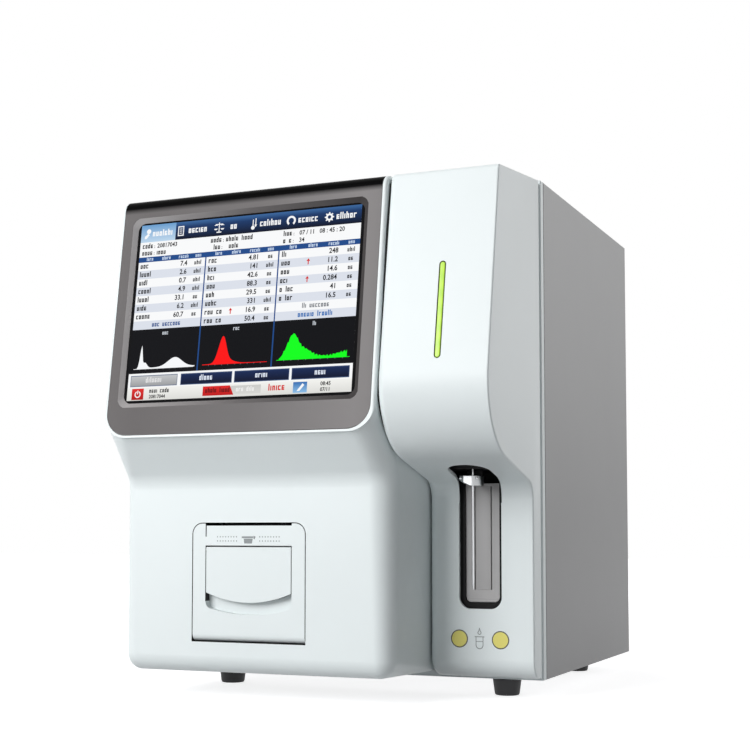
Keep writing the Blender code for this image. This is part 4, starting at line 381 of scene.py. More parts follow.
def rounded(corners, step=3):
    """Points of a polygon whose corners (across, up, radius, left edge, right edge, way in) are rounded."""
    count = len(corners)
    places, side = turning(corners)
    points = []
    for index, corner in enumerate(corners):
        here = places[index]
        back = (places[index - 1] - here).normalized()
        onward = (places[(index + 1) % count] - here).normalized()
        radius = corner[2]
        edges = tuple(corner[3:5]) if len(corner) > 4 else (0, 0)
        inner_angle = back.angle(onward)
        if radius == 0:
            first = Vector((back.y, -back.x)) * side
            second = Vector((-onward.y, onward.x)) * side
            inward = Vector(corner[5]) if len(corner) > 5 else (first + second) / (1 + first.dot(second))
            points.append((here.x, here.y, inward, edges))
            continue
        middle = here + (back + onward).normalized() * (radius / math.sin(inner_angle / 2))
        reach = radius / math.tan(inner_angle / 2)
        first = here + back * reach - middle
        turn = first.angle_signed(here + onward * reach - middle)
        parts = max(2, math.ceil(abs(math.degrees(turn)) / step))
        convex = back.cross(onward) * side < 0
        for part in range(parts + 1):
            spoke = Matrix.Rotation(-turn * part / parts, 2) @ first
            inward = -spoke.normalized() if convex else spoke.normalized()
            points.append((middle.x + spoke.x, middle.y + spoke.y, inward, edges))
    return points


def outline_of(corners, step=6):
    return [(point[0], point[1]) for point in rounded(corners, step)]


def framed(left, low, right, high, low_corner, high_corner):
    """The corners of an upright rectangle, with one radius at its foot and one at its top."""
    return [(left, low, low_corner), (right, low, low_corner), (right, high, high_corner), (left, high, high_corner)]


def pillow(name, corners, left, right, finish=None, steps=12):
    """A side profile pushed along X, whose ends are rounded by each corner's own edge sizes."""
    points = rounded(corners, 3)
    angles = [math.pi / 2 * step / steps for step in range(steps + 1)]
    rings = []
    for side, end, inward_x, order in ((0, left, 1, angles), (1, right, -1, angles[::-1])):
        for angle in order:
            ring = []
            for across, up, inward, edges in points:
                pull = edges[side] * (1 - math.sin(angle))
                x = end + inward_x * edges[side] * (1 - math.cos(angle))
                ring.append((x, across + inward.x * pull, up + inward.y * pull))
            rings.append(ring)
    return loft(name, rings, finish)


def inset(corners, walls):
    """The same polygon with each edge moved in by its wall; walls[i] is for the edge after corner i."""
    count = len(corners)
    places, side = turning(corners)
    lines = []
    for index in range(count):
        along = (places[(index + 1) % count] - places[index]).normalized()
        lines.append((places[index] + Vector((-along.y, along.x)) * side * walls[index], along))
    made = []
    for index in range(count):
        place_a, along_a = lines[index - 1]
        place_b, along_b = lines[index]
        share = (place_b - place_a).cross(along_b) / along_a.cross(along_b)
        place = place_a + along_a * share
        back = places[index - 1] - places[index]
        onward = places[(index + 1) % count] - places[index]
        wall = min(walls[index - 1], walls[index])
        radius = corners[index][2]
        if radius:
            radius = max(radius - wall, 0) if back.cross(onward) * side < 0 else radius + wall
        edges = [max(edge - cover_wall, 0) for edge in corners[index][3:5]]
        made.append((place.x, place.y, radius, *edges, *corners[index][5:]))
    return made


def face_place(face, up, depth=0.0):
    """(y, z) of a point of a tilted face (y, z, slope): up runs along it, depth goes in."""
    tilt = math.atan(face[2])
    y = face[0] + up * math.sin(tilt) + depth * math.cos(tilt)
    z = face[1] + up * math.cos(tilt) - depth * math.sin(tilt)
    return y, z


def face_top(face, depth=0.0):
    """The corner where a tilted face and the sloping top would meet, both moved in by depth."""
    across = depth / math.cos(math.atan(face[2]))
    y_foot = face[0] - face[1] * face[2] + across
    z = (cover_top - depth + (y_foot - cover_rear) * top_slope) / (1 - face[2] * top_slope)
    return face[0] + (z - face[1]) * face[2] + across, z


def top_z(y):
    return cover_top + (y - cover_rear) * top_slope


def on_face(name, face, outline, depth_front, depth_back, finish=None):
    """An outline (x, up along the face) that lies in a tilted face and reaches between two depths."""
    rings = [[(x, *face_place(face, up, depth)) for x, up in outline] for depth in (depth_front, depth_back)]
    return loft(name, rings, finish)


head_face = (rim_front, rim_low, head_slope)
face_height = (face_top(head_face)[1] - rim_low) / math.cos(head_tilt)


def new_material(name):
    """A material, its shader and the place of each point in its object."""
    made = bpy.data.materials.new(name)
    made.use_nodes = True
    place = add(made.node_tree, "ShaderNodeTexCoord").outputs["Object"]
    return made, made.node_tree.nodes["Principled BSDF"], place


def insides(made):
    """The tree, shader and place of a material that new_material began."""
    place = next(node for node in made.node_tree.nodes if node.type == "TEX_COORD")
    return made.node_tree, made.node_tree.nodes["Principled BSDF"], place.outputs["Object"]


def noise(tree, place, scale, detail, **values):
    return add(tree, "ShaderNodeTexNoise", place, Scale=scale, Detail=detail, **values).outputs["Fac"]


def ramp(tree, share, stops):
    """A colour ramp over a share. The first two stops are its ends, because the ramp sorts what comes later."""
    made = add(tree, "ShaderNodeValToRGB", share)
    elements = made.color_ramp.elements
    for index, (position, colour) in enumerate(stops):
        stop = elements[index] if index < 2 else elements.new(position)
        stop.position = position
        stop.color = (*colour, 1)
    return made


def mixed(tree, first, second, share=1.0, way="MULTIPLY"):
    settings = {"data_type": "RGBA", "blend_type": way, "Factor": share, "A": first, "B": second}
    return add(tree, "ShaderNodeMix", **settings).outputs["Result"]


def surfaced(shader, tone, tone_end, colour, drift, gloss, gloss_range, relief, strength, depth):
    """Drives a shader by three noises: its tone round a colour, its roughness and its relief."""
    tree = shader.id_data
    darker = [part * (1 - drift) for part in colour]
    lighter = [min(part * (1 + drift), 1) for part in colour]
    bump = add(tree, "ShaderNodeBump", Strength=strength, Distance=depth, Height=relief)
    tones = ramp(tree, tone, [(0.3, darker), (tone_end, lighter)])
    feed(shader, Base_Color=tones, Roughness=ranged(tree, gloss, *gloss_range), Normal=bump)


def moulded(name, colour, roughness, grain=0.35, grain_size=0.6 * MM, drift=0.03, coat=0.0, specular=0.5):
    """Moulded plastic: a fine spark-eroded grain, a faint drift of tone and slightly uneven gloss."""
    made, shader, place = new_material(name)
    feed(shader, Specular_IOR_Level=specular, Coat_Weight=coat, Coat_Roughness=0.12)
    cloud = noise(made.node_tree, place, 9.0, 4.0)
    pits = noise(made.node_tree, place, 1 / grain_size, 3.0, Roughness=0.6)
    gloss_range = (roughness - 0.05, roughness + 0.07)
    surfaced(shader, cloud, 0.7, colour, drift, pits, gloss_range, pits, grain, 0.02 * MM)
    return made


white_moulding = moulded("white_moulding", (0.825, 0.885, 0.89), 0.4, drift=0.012)


def bezel_area(grow):
    edges = (bezel_left - grow, bezel_low - grow, bezel_right + grow, face_height * 2)
    return outline_of(framed(*edges, rim_corner - bezel_low + grow, 0), 4)


def head_skin(depth_front, depth_back, back_y, edge=0.0):
    """Side profile of a skin that follows the head's face and bends back over its top."""
    return [
        (*face_place(head_face, 0, depth_back), 0, 0, 0),
        (*face_place(head_face, 0, depth_front), 0, edge, edge),
        (*face_top(head_face, depth_front), head_top_radius - depth_front, edge, edge),
        (back_y, top_z(back_y) - depth_front, 0, edge, edge),
        (back_y, top_z(back_y) - depth_back, 0, 0, 0),
        (*face_top(head_face, depth_back), head_top_radius - depth_back, 0, 0),
    ]


def bezel_solid(name, grow, depth_front, depth_back, finish=None):
    """The bezel's shape: the head's skin between two depths, trimmed to the bezel's rounded outline."""
    back_y = face_top(head_face)[0] + bezel_return + grow
    side = outline_of(head_skin(depth_front, depth_back, back_y), 3)
    skin = extruded(name, side, "X", case_left, head_right, finish)
    common(skin, on_face("trim", head_face, bezel_area(grow), depth_front - overshoot, 0.15))
    plan = framed(bezel_left - grow, rim_front - bezel_return, bezel_right + grow, back_y, 0, 8 * MM)
    common(skin, extruded("trim", outline_of(plan), "Z", rim_low - overshoot, case_top))
    return settle(skin)


window_left = bezel_left + 9.2 * MM
window_right = bezel_right - 11.5 * MM
window_low = 26.2 * MM
window_high = face_height - 16.8 * MM
window_slant = 4.2 * MM


def window_area(margin):
    edges = (window_left + margin, window_low + margin, window_right - margin, window_high - margin)
    return outline_of(framed(*edges, 7 * MM, 7 * MM))


def door_area(grow, step=6):
    half = door_half + grow
    edges = (printer_middle - half, door_low - grow, printer_middle + half, door_high + grow)
    return outline_of(framed(*edges, 0, 9 * MM + grow), step)


face_way = (math.sin(head_tilt), math.cos(head_tilt))
body_corners = [
    (cover_rear, case_bottom + 6.4 * MM, 0, 0, 0),
    (body_front, case_bottom + 6.4 * MM, 15 * MM, 12 * MM, 15 * MM),
    (body_front, case_bottom + 169.2 * MM, 20 * MM, 12 * MM, 19 * MM),
    (*face_place(head_face, 0, rim_rise), 0, rim_corner, rim_corner, face_way),
    (*face_top(head_face, rim_rise), head_top_radius, 3 * MM, 3 * MM),
    (cover_rear, cover_top - rim_rise, 0, 0, 0),
]
body = pillow("front_moulding", body_corners, case_left, head_right, white_moulding)
lip = pillow("lip", head_skin(0, rim_rise + 0.5 * MM, cover_rear, 2 * MM), case_left, head_right)
lip_area = outline_of(framed(case_left, 0, head_right, 0.6, rim_corner, 0), 4)
common(lip, on_face("trim", head_face, lip_area, -overshoot, 0.15))
settle(lip)
fuse(body, lip)
hollow_walls = [cover_wall] * 3 + [cover_wall + seat_gap, cover_wall, -overshoot]
hollow = pillow("hollow", inset(body_corners, hollow_walls), case_left + cover_wall, head_right - cover_wall)
cut(body, hollow)
cut(body, bezel_solid("pocket", seat_gap, -overshoot, bezel_thickness + seat_gap))
cut(body, on_face("cutter", head_face, window_area(-5 * MM), -overshoot, 12 * MM))
cut(body, extruded("cutter", door_area(0.8 * MM), "Y", body_front - overshoot, body_front + overshoot))
edge_rounded(body, 0.35 * MM, 2, 38)


def paint_faces(made, finish, chosen):
    """Gives some faces a second finish; chosen is asked with each face's middle and normal."""
    made.data.materials.append(finish)
    for polygon in made.data.polygons:
        if chosen(polygon.center, polygon.normal):
            polygon.material_index = len(made.data.materials) - 1


def in_door_gap(middle, normal):
    near = abs(middle.x - printer_middle) < 54.5 * MM and 47 * MM < middle.z < 150 * MM
    return near and body_front + 0.3 * MM < middle.y < body_front + 3.2 * MM and abs(normal.y) < 0.5


# Walls inside narrow gaps and slits are painted black: painted shade where a deep gap would be dark. Here it is the
# walls of the door opening.
gap_black = moulded("gap_black", (0.01, 0.01, 0.011), 0.7, drift=0.2)
paint_faces(body, gap_black, in_door_gap)
fitted(body, "case", "main_cover")


# Front moulding of the tower
# The same white plastic, in one moulding with its own split line: a nose that overhangs the tube bay, a
# keyhole cut in its underside for the needle, and a slit for the light bar. It clips onto the case frame.

tower_face = (seam - 161 * MM, case_bottom + 204.4 * MM, 0.18)
tower_length = (face_top(tower_face)[1] - tower_face[1]) * math.hypot(1, tower_face[2])
tower_sole = case_bottom + 2.9 * MM
tower_recess = seam - 36 * MM
crook = case_bottom + 165.1 * MM
underside_slope = 0.2595
nose_radius = 60 * MM
slot_x = case_right - 47 * MM
slot_half = 37.8 * MM / 2
slot_low = case_bottom + 60.8 * MM
light_x = case_right - 42.4 * MM
light_low = nose_radius * 0.945
light_high = light_low + (tower_length - light_low) * 0.5058


def round_bottomed(half, low, top, corner):
    """An outline about the slot's middle, with rounded lower corners."""
    return outline_of(framed(slot_x - half, low, slot_x + half, top, corner, 0))


def light_area(grow):
    half = 5.7 * MM / 2 + grow
    edges = (light_x - half, light_low - grow, light_x + half, light_high + grow)
    return outline_of(framed(*edges, half * 0.999, half * 0.999), 10)


tilts = tower_face[2] * underside_slope
foot_y = tower_face[0] + (crook - tower_face[1]) * tower_face[2]
nose_y = (foot_y + tilts * tower_recess) / (1 + tilts)
tower_edges = (7 * MM, 1.5 * MM)
tower_corners = [
    (cover_rear, tower_sole, 0, 0, 0),
    (tower_recess, tower_sole, 16 * MM, *tower_edges),
    (tower_recess, crook, 16 * MM, *tower_edges),
    (nose_y, crook - underside_slope * (nose_y - tower_recess), nose_radius, *tower_edges),
    (*face_top(tower_face), 4 * MM, 4 * MM, 1.5 * MM),
    (cover_rear, cover_top, 0, 0, 0),
]
tower = pillow("tower_moulding", tower_corners, tower_left, case_right, white_moulding, 14)
tower_hollow = inset(tower_corners, [cover_wall] * 5 + [-overshoot])
cut(tower, pillow("hollow", tower_hollow, tower_left + cover_wall, case_right - cover_wall))
sill = crook - 15 * MM
low_slot = round_bottomed(slot_half, slot_low, sill + 0.5 * MM, 10 * MM)
cut(tower, extruded("cutter", low_slot, "Y", tower_recess - overshoot, cover_rear - 3 * MM))
mouth_front = seam - 92.2 * MM
mouth_neck = seam - 58 * MM
mouth_back = tower_recess + cover_wall
mouth_corners = [
    (slot_x - slot_half, mouth_back + 0.5 * MM, 0),
    (slot_x - slot_half, mouth_back, 0),
    (slot_x - 13.5 * MM, mouth_neck, 17 * MM),
    (slot_x - 13.5 * MM, mouth_front, 17 * MM),
    (slot_x + 22.8 * MM, mouth_front, 17 * MM),
    (slot_x + 22.8 * MM, mouth_neck, 17 * MM),
    (slot_x + slot_half, mouth_back, 0),
    (slot_x + slot_half, mouth_back + 0.5 * MM, 0),
]
cut(tower, extruded("cutter", outline_of(mouth_corners, 5), "Z", sill, crook + 26 * MM))
cut(tower, on_face("cutter", tower_face, light_area(0), -overshoot, overshoot))
edge_rounded(tower, 0.45 * MM, 3, 38)
light_middle = (light_low + light_high) / 2


def in_light_slit(middle, normal):
    y, z = face_place(tower_face, light_middle)
    near = abs(middle.x - light_x) < 3.1 * MM and abs(middle.z - z) < (light_high - light_low) / 2 + 3.1 * MM
    depth = middle.y - tower_face[0] - (middle.z - tower_face[1]) * tower_face[2]
    return near and 0.4 * MM < depth < 3 * MM


# The walls of the slit round the light bar are painted black as painted shade.
paint_faces(tower, gap_black, in_light_slit)
fitted(tower, "case", "tower_cover")

# A black strip set deep in the gap between the head and the tower: painted shade, so that the gap reads dark.
gap_shade_black = moulded("seal_foam", (0.012, 0.012, 0.013), 0.8, grain=0.8, grain_size=0.8 * MM, drift=0.25)
shade_strip_depths = [wall * MM for wall in (9, 9, 9, 1.2, 1.5, 6)]
shade_strip_side = outline_of([corner[:3] for corner in inset(body_corners, shade_strip_depths)])
shade_strip = extruded("gap_seal", shade_strip_side, "X", head_right + 0.1 * MM, tower_left - 0.1 * MM, gap_shade_black)
tower_depths = [wall * MM for wall in (9, 10, 9, 3, 1.5, 6)]
tower_side = outline_of([corner[:3] for corner in inset(tower_corners, tower_depths)])
common(shade_strip, extruded("trim", tower_side, "X", head_right - 1 * MM, tower_left + 1 * MM))
settle(shade_strip)
fitted(shade_strip, "case")


# Screen bezel
# A satin grey painted ring of plastic, black along the edge that bends back over the head, with its grey painted
# lighter towards the right as a painted reflection. Its window has a wide slanted edge, painted light on its left and
# dark on its right as painted light and shade. It sits in a pocket of the white moulding and is stuck down all round.


def shade(red, green, blue):
    """The linear colour of three display values from 0 to 255."""
    shares = [part / 255 for part in (red, green, blue)]
    return tuple(part / 12.92 if part <= 0.04045 else ((part + 0.055) / 1.055) ** 2.4 for part in shares)


def painted_bezel(name, stops):
    """Grey satin paint whose tone across the ring is painted light and shade from stops, turning black along its top
    edge.
    """
    made = moulded(name, (0.5, 0.5, 0.5), 0.3, grain=0.16, grain_size=0.35 * MM, specular=0.015)
    tree, shader, place = insides(made)
    parts = add(tree, "ShaderNodeSeparateXYZ", place).outputs
    across = ranged(tree, parts["X"], start=case_left, stop=head_right)
    painted_light_greys = ramp(tree, across, [(position, shade(byte, byte - 3, byte - 3)) for position, byte in stops])
    top = face_top(head_face)[1]
    upward = ranged(tree, parts["Z"], 1.0, 0.004, top - 12.5 * MM, top - 7.5 * MM)
    feed(shader, Base_Color=mixed(tree, painted_light_greys, upward))
    return made


# The grey is painted lighter towards the right as a painted reflection.
bezel_paint = painted_bezel("bezel_paint", ((0.0, 116), (1.0, 138), (0.12, 112), (0.55, 122), (0.93, 143)))
bezel = bezel_solid("bezel_ring", 0, 0, bezel_thickness, bezel_paint)
window_rings = []
for margin, depth in ((-window_slant, -3 * MM), (window_slant, 3 * MM), (window_slant, 6 * MM)):
    window_rings.append([(x, *face_place(head_face, up, depth)) for x, up in window_area(margin)])
cut(bezel, loft("cutter", window_rings))
edge_rounded(bezel, 0.3 * MM, 2, 20)
face_normal = Vector((0, -math.cos(head_tilt), math.sin(head_tilt)))


def on_slant(middle, normal):
    inside = window_left - 1 * MM < middle.x < window_right + 1 * MM
    return inside and 0.5 < normal.dot(face_normal) < 0.93


# The slanted edge of the window is painted light on its left and dark on its right: painted light and shade.
slant_painted_light_tones = ((0.0, 176), (1.0, 64), (0.1, 168), (0.5, 112), (0.93, 70))
paint_faces(bezel, painted_bezel("bezel_slant_paint", slant_painted_light_tones), on_slant)
fitted(bezel, "case", "screen_bezel")


# Touch glass
# A black printed glass pane behind the bezel. Its clear middle is where the display's picture shows; the
# picture itself is the next piece.

glass_front = bezel_thickness + seat_gap
glass_back = glass_front + 1.8 * MM


def glassy(name, colour):
    """Smooth dark glass with the faintest smears of wiping."""
    return moulded(name, colour, 0.09, grain=0.03, grain_size=6 * MM, drift=0.1, specular=0.008)


black_glass = glassy("black_glass", (0.004, 0.004, 0.005))
pane = on_face("touch_pane", head_face, window_area(-2 * MM), glass_front, glass_back, black_glass)
edge_rounded(pane, 0.25 * MM, 2)
fitted(pane, "case", "touch_glass")


# Display picture
# The lit picture of the analyzer's program, laid out as thin inked plates on the glass: menu bar, patient
# rows, three result tables, three histograms, buttons and a status bar. Words are only letter-like strokes.

picture_low = (window_left + window_slant + 2.6 * MM, window_low + window_slant + 2.4 * MM)
picture_high = (window_right - window_slant - 2.8 * MM, window_high - window_slant - 1.3 * MM)
picture = bmesh.new()
ink_layer = picture.loops.layers.float_color.new("ink")
picture_step = 0.006 * MM


def picture_place(u, v, layer):
    """World place of a point of the picture: u runs right, v runs down from the top, both from 0 to 1."""
    x = picture_low[0] + (picture_high[0] - picture_low[0]) * u
    up = picture_high[1] - (picture_high[1] - picture_low[1]) * v
    return (x, *face_place(head_face, up, glass_front - 0.02 * MM - picture_step * layer))


def plate(outline, layer, colour, low_colour=None):
    """One thin plate of the picture, in one colour or with a second colour at its lower side."""
    count = len(outline)
    front = [picture.verts.new(picture_place(u, v, layer + 0.5)) for u, v in outline]
    back = [picture.verts.new(picture_place(u, v, layer)) for u, v in outline]
    highest = min(v for _, v in outline)
    lowest = max(v for _, v in outline)
    faces = [picture.faces.new(front), picture.faces.new(back[::-1])]
    for index in range(count):
        after = (index + 1) % count
        faces.append(picture.faces.new((front[after], front[index], back[index], back[after])))
    spots = dict(zip(front + back, outline * 2))
    for face in faces:
        for loop in face.loops:
            share = (spots[loop.vert][1] - highest) / (lowest - highest)
            loop[ink_layer] = (*Vector(colour).lerp(Vector(low_colour or colour), share), 1)


def bar(u0, v0, u1, v1, layer, colour, low_colour=None):
    plate([(u0, v0), (u0, v1), (u1, v1), (u1, v0)], layer, colour, low_colour)


picture_aspect = (picture_high[0] - picture_low[0]) / (picture_high[1] - picture_low[1])
stems = {
    "n": "LRT", "u": "LRB", "o": "LRTB", "l": "H", "i": "I",
    "c": "LTB", "r": "LT", "e": "LTMB", "h": "HRT", "d": "LGTB",
}


def word(letters, u, v, height, layer, colour):
    """Letter-like strokes from a code of letters; a space leaves a gap. Returns where the word ends."""
    stroke = height * 0.26
    thin = stroke / picture_aspect
    top = v - height
    tall = v - height * 1.4
    bend = v - height * 0.58
    for letter in letters:
        wide = height * (0.24 if letter in "li" else 0.62) / picture_aspect
        right = u + wide
        strokes = (
            ("L", u, top, u + thin, v, 0), ("H", u, tall, u + thin, v, 0), ("I", u, top, u + thin, v, 0),
            ("R", right - thin, top, right, v, 0), ("G", right - thin, tall, right, v, 0),
            ("T", u + thin, top, right, top + stroke, 0.5), ("M", u + thin, bend, right, bend + stroke, 0.5),
            ("B", u + thin, v - stroke, right, v, 0.5),
        )
        for mark, u0, v0, u1, v1, above in strokes:
            if mark in stems.get(letter, ""):
                bar(u0, v0, u1, v1, layer + above, colour)
        u += wide + height * 0.2 / picture_aspect
    return u


def word_width(letters, height):
    return sum((0.44 if letter in "li" else 0.82) for letter in letters) * height / picture_aspect


def centred_word(letters, u, v, height, layer, colour):
    word(letters, u - word_width(letters, height) / 2, v, height, layer, colour)


def figures(text, u, v, height, layer, colour, align="LEFT"):
    """Real numerals, cut from the plain built-in typeface."""
    curve = bpy.data.curves.new("figures", "FONT")
    curve.body = text
    curve.align_x = align
    curve.resolution_u = 2
    curve.extrude = 0.0005
    curve.offset = 0.024
    writer = placed("figures", curve)
    mesh = bpy.data.meshes.new_from_object(writer.evaluated_get(bpy.context.evaluated_depsgraph_get()))
    size = height / 0.69
    wide = size * 0.92 / picture_aspect
    made = []
    for vertex in mesh.vertices:
        x, y, z = vertex.co
        made.append(picture.verts.new(picture_place(u + x * wide, v - y * size, layer + (z > 0) * 0.5)))
    for polygon in mesh.polygons:
        face = picture.faces.new([made[index] for index in polygon.vertices])
        for loop in face.loops:
            loop[ink_layer] = (*colour, 1)
    bpy.data.objects.remove(writer)


ink_white = shade(250, 251, 252)
ink_black = shade(8, 9, 13)
ink_blue = shade(28, 74, 138)
ink_red = shade(214, 40, 36)
bar(0, 0, 1, 1, 0, ink_white)
bar(0, 0, 1, 0.03, 1, shade(58, 104, 160), shade(24, 56, 104))
bar(0, 0.03, 1, 0.1, 1, shade(24, 56, 104), shade(2, 8, 28))
bar(0, 0, 0.165, 0.1, 2, shade(104, 158, 208), shade(190, 216, 238))
for tab, letters in enumerate(("nuolehic", "oecien", "oo", "colihoule", "ecoicc", "ellihor")):
    centred_word(letters[:7], tab / 6 + 0.104, 0.068, 0.026, 3, ink_white)


def about(u, v, *spokes):
    """Points of the picture round (u, v), from spokes of (angle, radius)."""
    return [(u + radius * math.cos(a) / picture_aspect, v - radius * math.sin(a)) for a, radius in spokes]


def ring_icon(u, v, outer, inner, start=0.0, stop=360.0, parts=20):
    """A ring or an arc of short plates."""
    angles = [math.radians(start + (stop - start) * part / parts) for part in range(parts + 1)]
    for first, second in zip(angles, angles[1:]):
        plate(about(u, v, (first, outer), (first, inner), (second, inner), (second, outer)), 3, ink_white)


def disc_icon(u, v, radius):
    plate(about(u, v, *((math.tau * part / 18, radius) for part in range(18))), 3, ink_white)


icon_v = 0.053
plate([(0.018, 0.08), (0.018, 0.066), (0.033, 0.05), (0.041, 0.058), (0.027, 0.08)], 3, ink_white)
disc_icon(0.036, 0.038, 0.014)
for box in (
    (0.176, 0.024, 0.204, 0.03), (0.176, 0.074, 0.204, 0.08), (0.176, 0.03, 0.18, 0.074), (0.2, 0.03, 0.204, 0.074),
    (0.184, 0.038, 0.196, 0.042), (0.184, 0.05, 0.196, 0.054), (0.184, 0.062, 0.196, 0.066),
    (0.367, 0.024, 0.371, 0.078), (0.352, 0.032, 0.386, 0.037), (0.358, 0.076, 0.38, 0.082),
):
    bar(*box, 3, ink_white)
for side in (0.354, 0.384):
    plate([(side - 0.009, 0.058), (side - 0.004, 0.066), (side + 0.004, 0.066), (side + 0.009, 0.058)], 3, ink_white)
    ring_icon(side, 0.058, 0.022, 0.018, 62, 118, 4)
bar(0.522, 0.026, 0.526, 0.066, 3, ink_white)
disc_icon(0.524, 0.072, 0.011)
bar(0.534, 0.02, 0.538, 0.056, 3, ink_white)
plate([(0.53, 0.056), (0.536, 0.07), (0.542, 0.056)], 3, ink_white)
ring_icon(0.695, icon_v, 0.027, 0.016, -55, 235)
ring_icon(0.862, icon_v, 0.02, 0.01)
for tooth in range(8):
    angle = math.tau * tooth / 8
    spokes = ((angle - 0.2, 0.019), (angle - 0.13, 0.027), (angle + 0.13, 0.027), (angle + 0.2, 0.019))
    plate(about(0.862, icon_v, *spokes), 3.5, ink_white)

for u, v, label, value, number in (
    (0.012, 0.136, "code", "", "20817043"),
    (0.012, 0.176, "noue", "inou", ""),
    (0.335, 0.136, "uode", "uhole liood", ""),
    (0.35, 0.176, "leu", "uole", ""),
    (0.665, 0.136, "liue", "", "07 / 11   08 : 45 : 20"),
    (0.665, 0.176, "oge", "", "34"),
):
    end = word(label, u, v, 0.021, 1, ink_black)
    figures(":", end + 0.004, v, 0.02, 1, ink_black)
    if value:
        word(value, u + 0.07, v, 0.021, 1, ink_black)
    if number:
        figures(number, u + 0.07, v, 0.024, 1, ink_black)

columns = ((0.0, 0.314), (0.322, 0.646), (0.654, 1.0))
bar(0, 0.186, 1, 0.216, 1, ink_blue)
for left, right in columns:
    for share, letters in ((0.17, "lorn"), (0.42, "olorn"), (0.68, "reculi"), (0.9, "unii")):
        centred_word(letters, left + (right - left) * share, 0.209, 0.015, 2, shade(205, 222, 244))
readings = (
    "uoc 7.4, luunl 2.6, uidl 0.7, coonl 4.9, luuol 33.1, uide 6.2, coone 60.7",
    "roc 4.81, hco 141, hci 42.6, uou 88.3, uoh 29.5, uohc 331, rou co 16.9, rou co 50.4",
    "lli 248, uoo 11.2, oou 14.6, oci 0.284, o loc 41, o lor 16.5",
)
row_height = (0.602 - 0.216) / 8
for (left, right), rows in zip(columns, readings):
    for row in range(8):
        top = 0.216 + row_height * row
        if row % 2:
            bar(left, top, right, top + row_height, 1, shade(221, 226, 236))
    for row, reading in enumerate(rows.split(", ")):
        letters, value = reading.rsplit(" ", 1)
        base = 0.216 + row_height * (row + 0.74)
        word(letters, left + 0.01, base, 0.022, 2, ink_black)
        figures(value, left + (right - left) * 0.74, base, 0.027, 2, ink_black, "RIGHT")
        centred_word("uhil" if len(value) == 3 else "oe", left + (right - left) * 0.9, base, 0.018, 2, ink_black)
for column, row in ((1, 6), (2, 1), (2, 3)):
    u = columns[column][0] + 0.128
    v = 0.216 + row_height * (row + 0.5)
    plate([(u, v - 0.018), (u - 0.008, v - 0.003), (u + 0.008, v - 0.003)], 2, ink_red)
    bar(u - 0.0022, v - 0.004, u + 0.0022, v + 0.016, 2.5, ink_red)
note_base = 0.216 + row_height * 7.72
centred_word("uoc ueccooe", 0.157, note_base, 0.02, 2, ink_blue)
centred_word("lli ueccooe", 0.827, note_base - row_height, 0.02, 2, shade(120, 124, 130))
centred_word("oneuio lroulli", 0.827, note_base, 0.021, 2, shade(24, 104, 178))

graph_top = 0.602
graph_floor = 0.85
bar(0, graph_top, 1, graph_floor, 1, shade(5, 6, 9))
for divider in (0.318, 0.65):
    bar(divider - 0.003, 0.186, divider + 0.003, graph_floor, 3, ink_blue)


def histogram(points, floor_v, colour, axis_left, axis_right):
    """A filled curve over its base line, in narrow plates, with a thin axis and ticks."""
    for (u0, v0), (u1, v1) in zip(points, points[1:]):
        plate([(u0, v0), (u0, floor_v + 0.0005), (u1, floor_v + 0.0005), (u1, v1)], 2, colour)
    bar(axis_left, floor_v, axis_right, floor_v + 0.003, 2.5, colour)
    for tick in range(9):
        u = axis_left + (axis_right - axis_left) * (tick + 1) / 10
        bar(u, floor_v + 0.003, u + 0.0015, floor_v + 0.009, 2.5, shade(120, 124, 130))


def bell(u, middle, width, height):
    return height * math.exp(-(((u - middle) / width) ** 2))


white_curve = []
red_curve = []
green_curve = []
for step in range(61):
    u = 0.035 + 0.27 * step / 60
    peaks = bell(u, 0.052, 0.0075, 0.125) + bell(u, 0.072, 0.014, 0.03) + bell(u, 0.212, 0.045, 0.052)
    white_curve.append((u, 0.823 - peaks - 0.004))
    u = 0.345 + 0.21 * step / 60
    red_curve.append((u, 0.818 - bell(u, 0.427, 0.024, 0.14) - bell(u, 0.455, 0.04, 0.018) - 0.0006))
    u = 0.682 + 0.29 * step / 60
    wave = 0.004 * math.sin(step * 2.1) + 0.003 * math.sin(step * 3.7)
    rise = min((u - 0.682) / 0.02, 1)
    tail = (0.012 + 0.02 * max(u - 0.9, 0) / 0.07 + wave) * rise
    green_curve.append((u, 0.814 - bell(u, 0.738, 0.031, 0.118) - bell(u, 0.79, 0.04, 0.04) - max(tail, 0.001)))
histogram(white_curve, 0.823, shade(248, 250, 252), 0.02, 0.3)
histogram(red_curve, 0.818, shade(255, 12, 10), 0.34, 0.63)
histogram(green_curve, 0.814, shade(6, 255, 24), 0.672, 0.985)
for (left, right), letters in zip(columns, ("uoc", "roc", "lli")):
    centred_word(letters, (left + right) / 2, 0.637, 0.016, 2, shade(200, 206, 214))

buttons = ((0.014, 0.228, "dilueni"), (0.249, 0.477, "dlone"), (0.493, 0.729, "orini"), (0.745, 0.985, "neui"))
for index, (left, right, letters) in enumerate(buttons):
    grey = index == 0
    high_tone = shade(196, 198, 200) if grey else shade(20, 40, 84)
    low_tone = shade(158, 160, 162) if grey else shade(6, 16, 44)
    bar(left - 0.003, 0.861, right + 0.003, 0.924, 1, shade(120, 130, 150) if grey else shade(60, 80, 118))
    bar(left, 0.866, right, 0.919, 2, high_tone, low_tone)
    tone = shade(228, 228, 228) if grey else shade(226, 234, 248)
    centred_word(letters, (left + right) / 2, 0.902, 0.022, 3, tone)
bar(0, 0.93, 1, 1, 1, shade(244, 244, 240), shade(222, 222, 218))
bar(0.022, 0.934, 0.078, 0.996, 2, shade(226, 44, 40), shade(176, 22, 20))
ring_icon(0.05, 0.966, 0.019, 0.013, 115, 425)
bar(0.048, 0.944, 0.052, 0.965, 3.5, ink_white)
word("neui code", 0.104, 0.96, 0.018, 2, ink_black)
